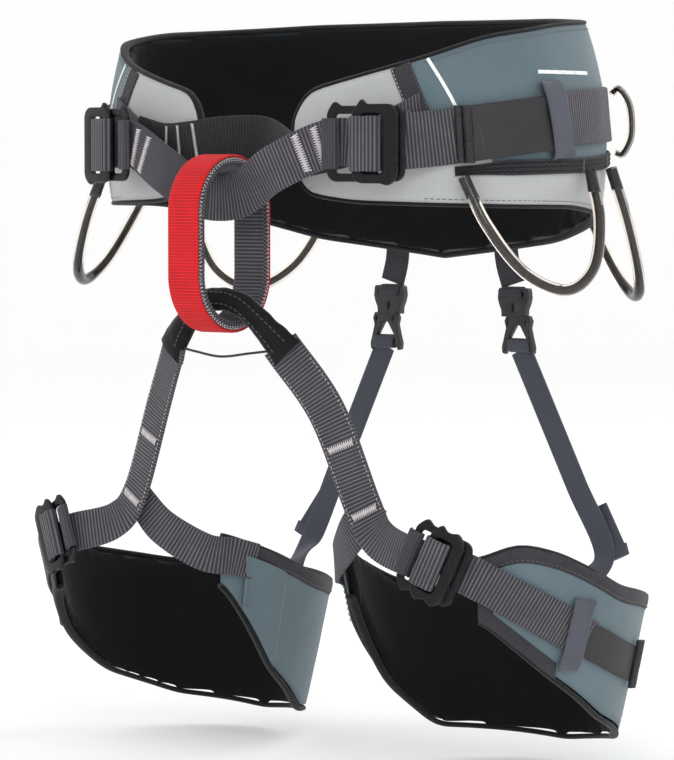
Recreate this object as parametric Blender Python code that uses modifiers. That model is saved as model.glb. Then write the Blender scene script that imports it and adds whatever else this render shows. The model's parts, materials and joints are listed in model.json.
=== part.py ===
"""Sit-type climbing harness: waist belt, tie-in strap, belay loop, leg loops and risers.

Millimetres are used throughout and turned into metres where a vertex is placed.
Front of the wearer is -Y, the wearer's left is +X, up is +Z. The origin is the
centre of the wearer's waist, level with the middle of the waist buckles.
"""
import math

import bmesh
import bpy
from mathutils import Matrix, Vector

MM = 0.001
GAP = 0.3                     # clearance between pieces that touch

# ---- waist belt ----
BELT_HALF_WIDTH = 172.0       # plan curve of the belt's outer fabric, along X
BELT_FRONT = 107.0            # along -Y
BELT_REAR = 113.0             # along +Y
BELT_POWER = 2.5              # 2 is an ellipse, more is squarer
TIP_START = 36.0              # arc length from the front middle to a padded tip
PAD_THICKNESS = 9.0
FABRIC_THICKNESS = 1.0
FRONT_PANEL_END = 118.0       # arc length where the front panel meets the side fabric
BELT_TOP = [(36, 24), (44, 33), (80, 42), (120, 52), (165, 66), (236, 75), (364, 81), (480, 82)]
BELT_BOTTOM = [(36, -18), (44, -28), (80, -34), (160, -36), (236, -37), (300, -44), (364, -60), (480, -73)]
BELT_BULGE = 0.0022           # how fast the belt draws in above and below its middle, per mm

# ---- waist webbing ----
WEBBING_WIDTH = 34.0
WEBBING_THICKNESS = 2.0
BACKING_WIDTH = 28.0
WEBBING_RISE = [(100, 1), (130, 4), (165, 9), (236, 18), (330, 22), (480, 22)]
BUCKLE_ARC = 98.0             # arc length to the middle of a waist buckle
BUCKLE_STANDOFF = 17.0        # how far the strap ends stand off the belt there
TAIL_ARC = (148.0, 216.0)
TAIL_WIDTH = 27.0
KEEPER_ARC = (207.0, 222.0)
STRIP_ARC = (145.0, 384.0)
STRIP_HEIGHT = 8.0
STRIP_RISE = [(145, -15.8), (170, -13.5), (250, -11.5), (300, -7), (384, -4)]

# ---- buckles ----
PLATE_THICKNESS = 2.6
FRAME_SIZE = (42.0, 46.0)     # along the strap, across the strap
SLIDER_SIZE = (25.0, 48.0)
SLOT_LENGTH = 36.0
SLOT_WIDTH = 9.0
LEG_BUCKLE_SCALE = 0.92
SLIDER_SHIFT = 3.0            # the slider lies this far outboard of the frame's middle

# ---- belay loop ----
BELAY_CENTRE = Vector((0.0, -132.0, -60.0))
BELAY_HEIGHT = 110.0
BELAY_DEPTH = 71.0
BELAY_WIDTH = 24.0
BELAY_INNER = 6.0             # thickness of the stacked webbing
BELAY_COVER = 2.0             # thickness of the outer wear layer

# ---- leg loops ----
LEG_CENTRE = Vector((125.0, -11.0, 0.0))
LEG_HALF_WIDTH = 95.0
LEG_HALF_DEPTH = 101.0
LEG_PAD_THICKNESS = 7.0
LEG_START = 30.0              # degrees from the front, outer side
LEG_END = 308.0
LEG_BUCKLE_THETA = 16.0       # middle of a leg buckle
LEG_TOP = [(30, -250), (45, -240), (60, -246), (90, -270), (130, -282), (180, -284), (235, -288),
           (262, -278), (290, -258), (308, -247)]
LEG_BOTTOM = [(30, -284), (45, -304), (60, -322), (90, -351), (130, -370), (180, -378), (250, -370),
              (280, -338), (308, -276)]
LEG_TAPER = 0.21              # how far a leg loop draws in per millimetre below LEG_TAPER_TOP
LEG_TAPER_TOP = -262.0
LEG_WEBBING_WIDTH = 25.0
LEG_STRAP_RISE = [(10, -249), (24, -254), (45, -274), (70, -297), (95, -314), (113, -322)]

BRIDGE_PIVOT = Vector((0.0, -132.0, -104.0))
SLEEVE_RADIUS = 7.8
TUBE_RADIUS = 3.7

# ---- gear loops: start arc, end arc, drop, lean outwards ----
GEAR_LOOPS = {
    "gear_loop_front": (150.0, 244.0, 70.0, 34.0),
    "gear_loop_rear": (274.0, 374.0, 84.0, 30.0),
}

# ---- risers ----
RISER_BUCKLE_Z = -92.0        # lower end of the webbing above the clip
RISER_HANG = Vector((6.0, 0.0, -38.0))   # direction the clip and elastic hang in, left side

PALETTE = {
    "mesh_black": ((0.012, 0.012, 0.013), 0.95, 0.0),
    "fabric_blue_grey": ((0.105, 0.145, 0.165), 0.85, 0.0),
    "fabric_light_grey": ((0.42, 0.43, 0.44), 0.8, 0.0),
    "webbing_dark": ((0.045, 0.042, 0.052), 0.75, 0.0),
    "webbing_smooth": ((0.022, 0.020, 0.023), 0.5, 0.0),
    "elastic_grey": ((0.065, 0.072, 0.095), 0.85, 0.0),
    "belay_red": ((0.75, 0.012, 0.022), 0.7, 0.0),
    "sleeve_black": ((0.015, 0.014, 0.016), 0.9, 0.0),
    "aluminium_black": ((0.012, 0.012, 0.013), 0.35, 0.9),
    "plastic_black": ((0.018, 0.018, 0.02), 0.45, 0.0),
    "tube_clear": ((0.30, 0.27, 0.24), 0.2, 0.0),
    "cord_black": ((0.02, 0.02, 0.022), 0.7, 0.0),
}

parts = None


def reset_scene():
    """Empty the scene and make the collection that holds the object."""
    global parts
    for item in list(bpy.data.objects):
        bpy.data.objects.remove(item, do_unlink=True)
    parts = bpy.data.collections.new("climbing_harness")
    bpy.context.scene.collection.children.link(parts)


def material(name):
    found = bpy.data.materials.get(name)
    if found:
        return found
    colour, roughness, metallic = PALETTE[name]
    made = bpy.data.materials.new(name)
    made.use_nodes = True
    shader = made.node_tree.nodes["Principled BSDF"]
    shader.inputs["Base Color"].default_value = (*colour, 1.0)
    shader.inputs["Roughness"].default_value = roughness
    shader.inputs["Metallic"].default_value = metallic
    made.diffuse_color = (*colour, 1.0)
    return made


# ---- curves and profiles ----
def catmull(before, start, end, after, t):
    """Catmull-Rom value between start and end, for numbers or vectors."""
    a = start * 2.0
    b = (end - before) * t
    c = (before * 2.0 - start * 5.0 + end * 4.0 - after) * (t * t)
    d = (start * 3.0 - before - end * 3.0 + after) * (t * t * t)
    return (a + b + c + d) * 0.5


def along(points, t):
    """Point at t (0 to 1) on a smooth curve through the given points."""
    spans = len(points) - 1
    place = min(max(t, 0.0), 1.0) * spans
    index = min(int(place), spans - 1)
    start = points[index]
    end = points[index + 1]
    before = points[index - 1] if index > 0 else start * 2.0 - end
    after = points[index + 2] if index + 2 <= spans else end * 2.0 - start
    return catmull(before, start, end, after, place - index)


def profile(table, x):
    """Value at x in a table of (x, value) pairs, straight between them."""
    if x <= table[0][0]:
        return table[0][1]
    for (x0, v0), (x1, v1) in zip(table, table[1:]):
        if x <= x1:
            return v0 + (v1 - v0) * (x - x0) / (x1 - x0)
    return table[-1][1]


def eased(t):
    t = min(max(t, 0.0), 1.0)
    return t * t * (3.0 - 2.0 * t)


def belt_plan(angle):
    """Plan point and outward normal of the belt, angle in radians from the front."""
    depth = BELT_FRONT if math.cos(angle) > 0 else BELT_REAR
    sine = math.sin(angle)
    cosine = math.cos(angle)
    x = BELT_HALF_WIDTH * math.copysign(abs(sine) ** (2 / BELT_POWER), sine)
    y = -depth * math.copysign(abs(cosine) ** (2 / BELT_POWER), cosine)
    slope_x = math.copysign(abs(x / BELT_HALF_WIDTH) ** (BELT_POWER - 1), x) / BELT_HALF_WIDTH
    slope_y = math.copysign(abs(y / depth) ** (BELT_POWER - 1), y) / depth
    return Vector((x, y, 0.0)), Vector((slope_x, slope_y, 0.0)).normalized()


def belt_arcs(count=720):
    """Arc lengths from the front middle to the rear middle, at equal angles."""
    lengths = [0.0]
    last = belt_plan(0.0)[0]
    for index in range(1, count + 1):
        place = belt_plan(math.pi * index / count)[0]
        lengths.append(lengths[-1] + (place - last).length)
        last = place
    return lengths


ARCS = belt_arcs()
BELT_HALF = ARCS[-1]


def belt_at(arc):
    """Plan point and normal at a signed arc length from the front middle."""
    size = min(abs(arc), BELT_HALF)
    low = 0
    high = len(ARCS) - 1
    while high - low > 1:
        middle = (low + high) // 2
        if ARCS[middle] <= size:
            low = middle
        else:
            high = middle
    share = (size - ARCS[low]) / (ARCS[high] - ARCS[low])
    angle = math.pi * (low + share) / (len(ARCS) - 1)
    return belt_plan(math.copysign(angle, arc) if arc else angle)


def belt_point(arc, z, offset):
    """A point on the belt; arcs beyond the rear middle carry on round the other side."""
    if arc > BELT_HALF:
        arc -= 2.0 * BELT_HALF
    place, normal = belt_at(arc)
    return place + normal * (offset - BELT_BULGE * z * z) + Vector((0.0, 0.0, z))


def leg_point(side, theta, z, offset):
    """A point on a leg loop; theta is in degrees from the front towards the outside."""
    angle = math.radians(theta)
    offset -= LEG_TAPER * max(0.0, LEG_TAPER_TOP - z)
    x = LEG_CENTRE.x + (LEG_HALF_WIDTH + offset) * math.sin(angle)
    y = LEG_CENTRE.y - (LEG_HALF_DEPTH + offset) * math.cos(angle)
    return Vector((side * x, y, z))


# ---- builders ----
def add_object(name, data, material_name):
    """Put mesh or curve data in the object's collection."""
    made = bpy.data.objects.new(name, data)
    data.materials.append(material(material_name))
    parts.objects.link(made)
    return made


def surface(name, columns, rows, place, thickness, material_name, origin=Vector()):
    """A soft sheet: a grid laid over place(u, v) and thickened both ways."""
    grid = bmesh.new()
    bmesh.ops.create_grid(grid, x_segments=columns, y_segments=rows, size=0.5)
    for vertex in grid.verts:
        point = place(vertex.co.x + 0.5, vertex.co.y + 0.5)
        vertex.co = (point - origin) * MM
    mesh = bpy.data.meshes.new(name)
    grid.to_mesh(mesh)
    grid.free()
    made = add_object(name, mesh, material_name)
    made.location = origin * MM
    solid = made.modifiers.new("thickness", "SOLIDIFY")
    solid.thickness = thickness * MM
    solid.offset = 0.0
    solid.use_even_offset = True
    mesh.shade_smooth()
    mesh.set_sharp_from_angle(angle=math.radians(40))
    return made


def ribbon(name, route, facings, width, thickness, material_name, columns=16, origin=Vector()):
    """A strap along a route; facings say which way its flat side looks at each point."""
    def place(u, v):
        step = 0.002
        ahead = along(route, min(u + step, 1.0))
        behind = along(route, max(u - step, 0.0))
        tangent = (ahead - behind).normalized()
        facing = along(facings, u)
        across = tangent.cross(facing).normalized()
        return along(route, u) + across * ((v - 0.5) * width)
    return surface(name, columns, 1, place, thickness, material_name, origin)


def tube(name, route, radius, material_name, count=24, sides=2, origin=Vector()):
    """A round tube on a smooth curve through the route's points."""
    curve = bpy.data.curves.new(name, "CURVE")
    curve.dimensions = "3D"
    curve.bevel_depth = radius * MM
    curve.bevel_resolution = sides
    curve.use_fill_caps = True
    spline = curve.splines.new("POLY")
    spline.points.add(count - 1)
    for index, point in enumerate(spline.points):
        place = (along(route, index / (count - 1)) - origin) * MM
        point.co = (*place, 1.0)
    spline.use_smooth = True
    made = add_object(name, curve, material_name)
    made.location = origin * MM
    return made


def rounded(width, height, radius, corner_steps=4, centre=(0.0, 0.0)):
    """Outline of a rounded rectangle, anticlockwise."""
    outline = []
    corners = ((1, 1, 0), (-1, 1, 90), (-1, -1, 180), (1, -1, 270))
    for sign_x, sign_y, start in corners:
        middle_x = centre[0] + sign_x * (width / 2 - radius)
        middle_y = centre[1] + sign_y * (height / 2 - radius)
        for step in range(corner_steps + 1):
            angle = math.radians(start + 90 * step / corner_steps)
            outline.append((middle_x + radius * math.cos(angle), middle_y + radius * math.sin(angle)))
    return outline


def plate(name, outlines, thickness, matrix, material_name):
    """A flat piece: closed outlines (holes included) filled and given a thickness."""
    curve = bpy.data.curves.new(name, "CURVE")
    curve.dimensions = "2D"
    curve.fill_mode = "BOTH"
    curve.extrude = thickness * MM / 2
    for outline in outlines:
        spline = curve.splines.new("POLY")
        spline.points.add(len(outline) - 1)
        for point, (x, y) in zip(spline.points, outline):
            point.co = (x * MM, y * MM, 0.0, 1.0)
        spline.use_cyclic_u = True
    made = add_object(name, curve, material_name)
    made.matrix_world = matrix
    return made


def lay_flat(centre, along_dir, up_dir):
    """Matrix that lays local X along a strap and local Y up, with local Z outwards."""
    x_axis = along_dir.normalized()
    z_axis = x_axis.cross(up_dir).normalized()
    y_axis = z_axis.cross(x_axis)
    matrix = Matrix((x_axis, y_axis, z_axis)).transposed().to_4x4()
    matrix.translation = centre * MM
    return matrix


# ---- waist belt ----
def belt_band(name, start, end, columns, offset, thickness, material_name):
    """Part of the belt's full height between two arc lengths."""
    def place(u, v):
        arc = start + (end - start) * u
        reach = min(arc, 2.0 * BELT_HALF - arc) if arc > BELT_HALF else abs(arc)
        top = profile(BELT_TOP, reach)
        bottom = profile(BELT_BOTTOM, reach)
        return belt_point(arc, bottom + (top - bottom) * v, offset)
    return surface(name, columns, 2, place, thickness, material_name)


def make_belt():
    pad_middle = -0.2 - 3 * GAP - PAD_THICKNESS / 2
    fabric_middle = FABRIC_THICKNESS / 2 - 0.2
    round_end = 2.0 * BELT_HALF
    belt_band("waist_pad", TIP_START, round_end - TIP_START, 54, pad_middle, PAD_THICKNESS, "mesh_black")
    shell_start = FRONT_PANEL_END + 2 * GAP
    belt_band("waist_shell", shell_start, round_end - shell_start, 46, fabric_middle,
              FABRIC_THICKNESS, "fabric_blue_grey")
    for side, word in ((1, "left"), (-1, "right")):
        belt_band("front_panel_" + word, side * (TIP_START + 1.0), side * FRONT_PANEL_END, 8,
                  fabric_middle, FABRIC_THICKNESS, "fabric_light_grey")


def webbing_offset(arc):
    """The load webbing lies on the fabric and stands off it near the buckles."""
    lift = 1.0 - eased((abs(arc) - BUCKLE_ARC) / 46.0)
    return FABRIC_THICKNESS - 0.2 + 2 * GAP + WEBBING_THICKNESS / 2 + BUCKLE_STANDOFF * lift


def make_waist_webbing():
    start = BUCKLE_ARC + GAP
    end = 2.0 * BELT_HALF - start

    def place(u, v):
        arc = start + (end - start) * u
        reach = min(arc, 2.0 * BELT_HALF - arc)
        z = profile(WEBBING_RISE, reach) + (v - 0.5) * WEBBING_WIDTH
        return belt_point(arc, z, webbing_offset(reach))
    surface("waist_webbing", 56, 2, place, WEBBING_THICKNESS, "webbing_dark")


def on_belt(name, arcs, side, rise, width, offset, thickness, material_name, columns=8, rows=2):
    """A narrow band whose middle follows a table of heights, at a chosen offset off the belt."""
    def place(u, v):
        arc = arcs[0] + (arcs[1] - arcs[0]) * u
        z = profile(rise, arc) + (v - 0.5) * width
        return belt_point(side * arc, z, offset)
    return surface(name, columns, rows, place, thickness, material_name)


def make_belt_trim(side, word):
    """Tail of the waist webbing, its elastic keeper and the gear loop strip."""
    webbing_top = webbing_offset(BELT_HALF) + WEBBING_THICKNESS / 2
    tail_middle = webbing_top + GAP + 0.9
    on_belt("strap_tail_" + word, TAIL_ARC, side, WEBBING_RISE, TAIL_WIDTH, tail_middle, 1.8,
            "webbing_smooth")
    keeper_middle = tail_middle + 0.9 + GAP + 0.6
    on_belt("strap_keeper_" + word, KEEPER_ARC, side, WEBBING_RISE, WEBBING_WIDTH + 12.0, keeper_middle,
            1.2, "elastic_grey", columns=3, rows=4)
    strip_middle = FABRIC_THICKNESS - 0.2 + 2 * GAP + 0.7
    on_belt("gear_strip_" + word, STRIP_ARC, side, STRIP_RISE, STRIP_HEIGHT, strip_middle, 1.4,
            "webbing_smooth", columns=14, rows=1)


# ---- buckles ----
def make_buckle(prefix, side, word, centre, direction, up, size, back):
    """Two flat plates: a slotted frame and the slider on it, nearer the outer end."""
    normal = direction.cross(up).normalized()
    frame_centre = centre + normal * (back + GAP + PLATE_THICKNESS / 2)
    slider_centre = frame_centre + normal * (PLATE_THICKNESS + GAP)
    slot = (SLOT_WIDTH * size, SLOT_LENGTH * size)
    frame_outline = rounded(FRAME_SIZE[0] * size, FRAME_SIZE[1] * size, 6.0 * size)
    frame_slots = [rounded(*slot, 2.0, 2, (place * size, 0.0)) for place in (-11.0, 11.0)]
    plate(prefix + "_frame_" + word, [frame_outline, *frame_slots], PLATE_THICKNESS,
          lay_flat(frame_centre, direction, up), "aluminium_black")
    slider_centre += direction.normalized() * (side * SLIDER_SHIFT)
    slider_outline = rounded(SLIDER_SIZE[0] * size, SLIDER_SIZE[1] * size, 7.0 * size)
    slider_slot = rounded(11.0 * size, slot[1], 2.5, 2)
    plate(prefix + "_slider_" + word, [slider_outline, slider_slot], PLATE_THICKNESS,
          lay_flat(slider_centre, direction, up), "aluminium_black")


def waist_buckle_place(side):
    """Centre of the webbing under a waist buckle, its direction and the belt's normal."""
    place, normal = belt_at(side * BUCKLE_ARC)
    centre = place + normal * webbing_offset(BUCKLE_ARC)
    centre.z = profile(WEBBING_RISE, BUCKLE_ARC)
    direction = Vector((0, 0, 1)).cross(normal)
    return centre, direction, normal


def make_waist_buckle(side, word):
    centre, direction, _ = waist_buckle_place(side)
    back = WEBBING_THICKNESS / 2 + 1.6
    make_buckle("waist_buckle", side, word, centre, direction, Vector((0, 0, 1)), 1.0, back)


# ---- front straps and belay loop ----
def make_tie_in():
    """The strap between the waist buckles, through the belay loop."""
    left, direction, normal = waist_buckle_place(1)
    left = left - direction * GAP
    inboard = left - direction * 26.0 + normal * 1.0
    front = BELAY_CENTRE.y
    route = [left, inboard, Vector((44, front - 2, -14)), Vector((16, front, -29.5))]
    route += [Vector((-16, front, -29.5)), Vector((-44, front - 2, -14))]
    route += [Vector((-inboard.x, inboard.y, inboard.z)), Vector((-left.x, left.y, left.z))]
    facings = [normal, normal] + [Vector((0, -1, 0))] * 4
    facings += [Vector((-normal.x, normal.y, 0))] * 2
    ribbon("tie_in_strap", route, facings, 30.0, 3.0, "webbing_dark", columns=30)


def make_backing_strap():
    """Strap behind the belay loop that joins the two front panels."""
    route = [Vector((-84, -113, 6)), Vector((-60, -115, 1)), Vector((-40, -113.5, 2)),
             Vector((-24, -100, 5)), Vector((0, -90.5, 5)), Vector((24, -100, -2)),
             Vector((40, -113.5, -6)), Vector((60, -115, -4)), Vector((84, -113, 1))]
    ribbon("backing_strap", route, [Vector((0, -1, 0))] * 9, BACKING_WIDTH, 1.8, "webbing_dark", columns=40)


def racetrack(height, depth, steps=10):
    """Outline of an upright oval with straight sides; x is the depth, y the height."""
    radius = depth / 2
    reach = height / 2 - radius
    outline = []
    for middle, start in ((reach, 0), (-reach, 180)):
        for step in range(steps + 1):
            angle = math.radians(start + 180 * step / steps)
            outline.append((radius * math.cos(angle), middle + radius * math.sin(angle)))
    return outline


def make_belay_loop():
    """Stacked webbing ring and the red wear layer sewn round it."""
    turn = lay_flat(BELAY_CENTRE, Vector((0, 1, 0)), Vector((0, 0, 1)))
    shrink = 0.0
    for name, thickness, material_name in (("belay_cover", BELAY_COVER, "belay_red"),
                                           ("belay_core", BELAY_INNER, "webbing_dark")):
        outer = racetrack(BELAY_HEIGHT - shrink, BELAY_DEPTH - shrink)
        shrink += 2 * thickness
        inner = racetrack(BELAY_HEIGHT - shrink, BELAY_DEPTH - shrink)
        shrink += 2 * GAP
        plate(name, [outer, inner], BELAY_WIDTH, turn, material_name)


def make_bridge():
    """Sleeved webbing through the belay loop and the thin cord below it."""
    half = [Vector((44, -124, -124)), Vector((32, -127, -111)), Vector((17, -131, -98))]
    half.append(Vector((0, -132, -94.5)))
    route = half + [Vector((-point.x, point.y, point.z)) for point in reversed(half[:-1])]
    tube("bridge_sleeve", route, SLEEVE_RADIUS, "sleeve_black", count=13, sides=2)
    drop = [Vector((34, -126, -126)), Vector((22, -129, -127.5)), Vector((0, -131, -130))]
    cord = drop + [Vector((-point.x, point.y, point.z)) for point in reversed(drop[:-1])]
    tube("spacer_cord", cord, 0.8, "cord_black", count=24, sides=2)


# ---- gear loops ----
def make_gear_loop(prefix, side, word):
    """A stiff tube hanging from two points on the strip, leaning outwards at the bottom."""
    start, end, drop, lean = GEAR_LOOPS[prefix]
    lift = FABRIC_THICKNESS + 1.5 + TUBE_RADIUS + GAP
    ends = []
    for arc in (start, end):
        z = profile(STRIP_RISE, arc) - 4.0
        ends.append(belt_point(side * arc, z, lift))
    middle = (ends[0] + ends[1]) / 2
    outwards = Vector((middle.x, middle.y, 0.0)).normalized()
    chord = ends[1] - ends[0]
    shape = [(-0.5, 0.0, 0.0), (-0.44, 0.42, 0.42), (-0.27, 0.83, 0.82), (0.0, 1.0, 1.0),
             (0.27, 0.83, 0.82), (0.44, 0.42, 0.42), (0.5, 0.0, 0.0)]
    route = [middle + chord * a + Vector((0, 0, -drop * d)) + outwards * (lean * o) for a, d, o in shape]
    tube(prefix + "_" + word, route, TUBE_RADIUS, "tube_clear", count=23, sides=2, origin=ends[0])


def make_accessory_loop(side, word):
    """A small stiff loop standing off the side of the belt."""
    route = []
    for arc, z, out in ((300, 38, 3), (297, 40, 8), (297, 30, 13), (299, 12, 13), (302, 0, 8), (303, 0, 3)):
        route.append(belt_point(side * arc, z - 4.0, out + 3.5))
    tube("accessory_loop_" + word, route, 2.4, "tube_clear", count=12, sides=2, origin=route[0])


# ---- risers ----
def make_riser(side, word):
    """Rear strap: webbing from the belt, a two-part buckle and an elastic to the leg loop."""
    top = belt_point(side * (BELT_HALF - 44.0), -52.0, FABRIC_THICKNESS + 1.6)
    low = Vector((side * 50.0, top.y + 1.5, RISER_BUCKLE_Z + 2.2))
    mid = Vector((side * 45.5, top.y + 0.8, -74.0))
    back = Vector((0, 1, 0))
    ribbon("riser_strap_" + word, [top, mid, low], [back, back, back], 19.0, 1.4, "webbing_dark", columns=4)
    hang = Vector((side * RISER_HANG.x, 0.0, RISER_HANG.z))
    centre = Vector((side * 51.5, low.y, RISER_BUCKLE_Z - 9.8))
    level = Vector((-1, 0, 0))
    female = [rounded(25.0, 19.0, 4.0, 3), rounded(11.0, 6.0, 2.0, 2, (0.0, 3.0))]
    plate("riser_clip_female_" + word, female, 6.0, lay_flat(centre, level, -hang), "plastic_black")
    centre = centre + hang.normalized() * 20.5
    male = [rounded(23.0, 20.0, 5.0, 3)]
    male += [rounded(15.0, 4.0, 1.8, 2, (0.0, -5.0)), rounded(8.0, 5.0, 2.0, 2, (0.0, 3.0))]
    plate("riser_clip_male_" + word, male, 5.0, lay_flat(centre, level, -hang), "plastic_black")
    bottom = leg_point(side, 184.0, -302.0, FABRIC_THICKNESS + 1.4)
    start = centre + hang.normalized() * 13.6
    elbow = Vector((side * 121.0, 113.0, -264.0))
    route = [start, start.lerp(elbow, 0.33), start.lerp(elbow, 0.67), elbow,
             Vector((bottom.x, bottom.y + 5.0, -284.0)), bottom]
    facings = [back] * 6
    ribbon("riser_elastic_" + word, route, facings, 17.0, 1.4, "elastic_grey", columns=14)


# ---- leg loops ----
def leg_band(name, side, start, end, columns, offset, thickness, material_name):
    def place(u, v):
        theta = start + (end - start) * u
        top = profile(LEG_TOP, theta)
        bottom = profile(LEG_BOTTOM, theta)
        return leg_point(side, theta, bottom + (top - bottom) * v, offset)
    return surface(name, columns, 2, place, thickness, material_name)


def on_leg(name, side, thetas, width, offset, thickness, material_name, columns, drop=0.0):
    def place(u, v):
        theta = thetas[0] + (thetas[1] - thetas[0]) * u
        z = profile(LEG_STRAP_RISE, theta) - drop + (v - 0.5) * width
        return leg_point(side, theta, z, offset)
    return surface(name, columns, 2, place, thickness, material_name)


def make_leg_loop(side, word):
    """Pad, fabric, webbing, buckle and trim of one leg loop."""
    leg_band("leg_pad_" + word, side, LEG_START, LEG_END, 34, -0.2 - GAP - LEG_PAD_THICKNESS / 2,
             LEG_PAD_THICKNESS, "mesh_black")
    leg_band("leg_shell_" + word, side, LEG_START + 1, LEG_END - 1, 34, 0.3, FABRIC_THICKNESS,
             "fabric_blue_grey")
    strap_middle = FABRIC_THICKNESS - 0.2 + 2 * GAP + 1.0
    on_leg("leg_adjust_strap_" + word, side, (LEG_BUCKLE_THETA + 0.9, 108.0), LEG_WEBBING_WIDTH,
           strap_middle, 2.0, "webbing_dark", 26)
    on_leg("leg_keeper_" + word, side, (66.0, 74.0), LEG_WEBBING_WIDTH + 18.0, strap_middle + 1.9, 1.2,
           "elastic_grey", 2)
    on_leg("leg_strap_stop_" + word, side, (109.0, 113.0), 31.0, strap_middle + 1.8, 5.0,
           "webbing_smooth", 2)
    turns = (LEG_BUCKLE_THETA - 2.0, LEG_BUCKLE_THETA, LEG_BUCKLE_THETA + 2.0)
    spots = [leg_point(side, theta, profile(LEG_STRAP_RISE, theta), strap_middle) for theta in turns]
    behind, centre, ahead = spots
    direction = (ahead - behind).normalized() * side
    make_buckle("leg_buckle", side, word, centre, direction, Vector((0, 0, 1)), LEG_BUCKLE_SCALE, 2.6)
    return centre, direction


def make_leg_straps(side, word, buckle_centre, buckle_direction):
    """Branch webbing from the bridge to the leg buckle, and the inner strap to the pad."""
    start = Vector((side * 46.4, -123.2, -127.5))
    split = Vector((side * 92, -106, -220))
    inboard = buckle_centre - buckle_direction * (side * 18.0)
    end = buckle_centre - buckle_direction * (side * 1.2)
    route = [start, Vector((side * 68, -111, -163)), split, Vector((side * 107, -109, -239)), inboard, end]
    outward = Vector((side * 0.25, -1, 0.1))
    facings = [outward, outward, outward, Vector((side * 0.1, -1, 0.2)), Vector((side * 0.2, -1, 0)),
               Vector((side * 0.2, -1, 0))]
    ribbon("leg_branch_strap_" + word, route, facings, LEG_WEBBING_WIDTH, 2.2, "webbing_dark", columns=22)
    pad_end = leg_point(side, LEG_END - 6.0, -262.0, FABRIC_THICKNESS + 1.4)
    before = leg_point(side, LEG_END + 6.0, -258.0, FABRIC_THICKNESS + 3.0)
    route = [split + Vector((side * -2, 3.2, -6)), Vector((side * 74, -99, -243)), before, pad_end]
    facings = [Vector((side * 0.1, -1, 0)), Vector((side * -0.2, -1, 0)), Vector((side * -0.6, -0.8, 0)),
               Vector((side * -0.75, -0.65, 0))]
    ribbon("leg_inner_strap_" + word, route, facings, 24.0, 2.0, "webbing_dark", columns=12)


def hang_on_pivot(name, location, members):
    """Parent pieces to an empty that sits on their joint's axis."""
    pivot = bpy.data.objects.new(name, None)
    pivot.empty_display_size = 0.02
    pivot.location = location * MM
    parts.objects.link(pivot)
    for member in members:
        member.parent = pivot
        member.matrix_parent_inverse = Matrix.Translation(-pivot.location)


def build():
    reset_scene()
    make_belt()
    make_waist_webbing()
    make_tie_in()
    make_backing_strap()
    make_belay_loop()
    make_bridge()
    for side, word in ((1, "left"), (-1, "right")):
        make_belt_trim(side, word)
        make_waist_buckle(side, word)
        make_gear_loop("gear_loop_front", side, word)
        make_gear_loop("gear_loop_rear", side, word)
        make_accessory_loop(side, word)
        make_riser(side, word)
        buckle_centre, buckle_direction = make_leg_loop(side, word)
        make_leg_straps(side, word, buckle_centre, buckle_direction)
        leg_pieces = [item for item in parts.objects if item.name.startswith("leg_")]
        members = [item for item in leg_pieces if item.name.endswith(word)]
        hang_on_pivot("pivot_leg_loop_" + word, BRIDGE_PIVOT, members)


build()
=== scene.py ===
"""Looks of the climbing harness: padding, fabric panels, webbing, buckles and loops."""
import json
import math

import bmesh
import bpy
import numpy as np
from mathutils import Matrix, Vector, noise as field

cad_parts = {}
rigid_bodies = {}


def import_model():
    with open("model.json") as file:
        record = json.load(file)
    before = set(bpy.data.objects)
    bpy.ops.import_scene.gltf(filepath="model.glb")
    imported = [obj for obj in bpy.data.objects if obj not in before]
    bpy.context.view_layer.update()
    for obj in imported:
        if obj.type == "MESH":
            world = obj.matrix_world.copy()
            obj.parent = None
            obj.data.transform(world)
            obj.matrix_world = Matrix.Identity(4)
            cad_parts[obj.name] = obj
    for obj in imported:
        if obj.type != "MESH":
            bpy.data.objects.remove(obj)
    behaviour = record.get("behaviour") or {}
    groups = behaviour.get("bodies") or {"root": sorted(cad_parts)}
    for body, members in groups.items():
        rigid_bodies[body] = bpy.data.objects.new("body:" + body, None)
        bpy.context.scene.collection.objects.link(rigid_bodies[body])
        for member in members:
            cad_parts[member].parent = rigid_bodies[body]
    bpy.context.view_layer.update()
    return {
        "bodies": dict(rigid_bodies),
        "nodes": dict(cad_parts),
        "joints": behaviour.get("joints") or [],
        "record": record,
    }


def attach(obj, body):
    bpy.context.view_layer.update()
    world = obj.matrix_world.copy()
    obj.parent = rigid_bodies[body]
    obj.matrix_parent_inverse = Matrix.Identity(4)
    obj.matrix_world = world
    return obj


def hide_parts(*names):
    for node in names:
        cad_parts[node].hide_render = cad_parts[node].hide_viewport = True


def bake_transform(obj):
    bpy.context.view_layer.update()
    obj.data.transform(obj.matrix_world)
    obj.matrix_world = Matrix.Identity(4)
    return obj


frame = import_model()
MM = 0.001                    # everything below is in millimetres until it is placed

# ---------------------------------------------------------------- sizes
BELT_HALF_WIDTH = 172.0
BELT_FRONT = 107.0
BELT_REAR = 113.0
BELT_POWER = 2.5
BELT_BULGE = 0.0022
TIP_START = 36.0
TIP_ROUND = 17.0
BELT_TOP = [(36, 25), (44, 33), (80, 42), (120, 52), (165, 66), (236, 75), (364, 81), (480, 82)]
BELT_BOTTOM = [(36, -22), (44, -29), (80, -34), (160, -36), (236, -37), (300, -44), (364, -60), (480, -73)]
STRIP_RISE = [(145, -15.8), (170, -13.5), (250, -11.5), (300, -7), (384, -4)]
WEBBING_WIDTH = 34.0
WEBBING_RISE = [(100, 1), (130, 4), (165, 9), (236, 18), (330, 22), (480, 22)]
BUCKLE_ARC = 98.0
BUCKLE_STANDOFF = 17.0
RIB_PITCH = 2.3
BELAY_CENTRE = Vector((0.0, -132.0, -60.0))
BELAY_HEIGHT = 110.0
BELAY_DEPTH = 71.0
BELAY_WIDTH = 24.0
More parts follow.
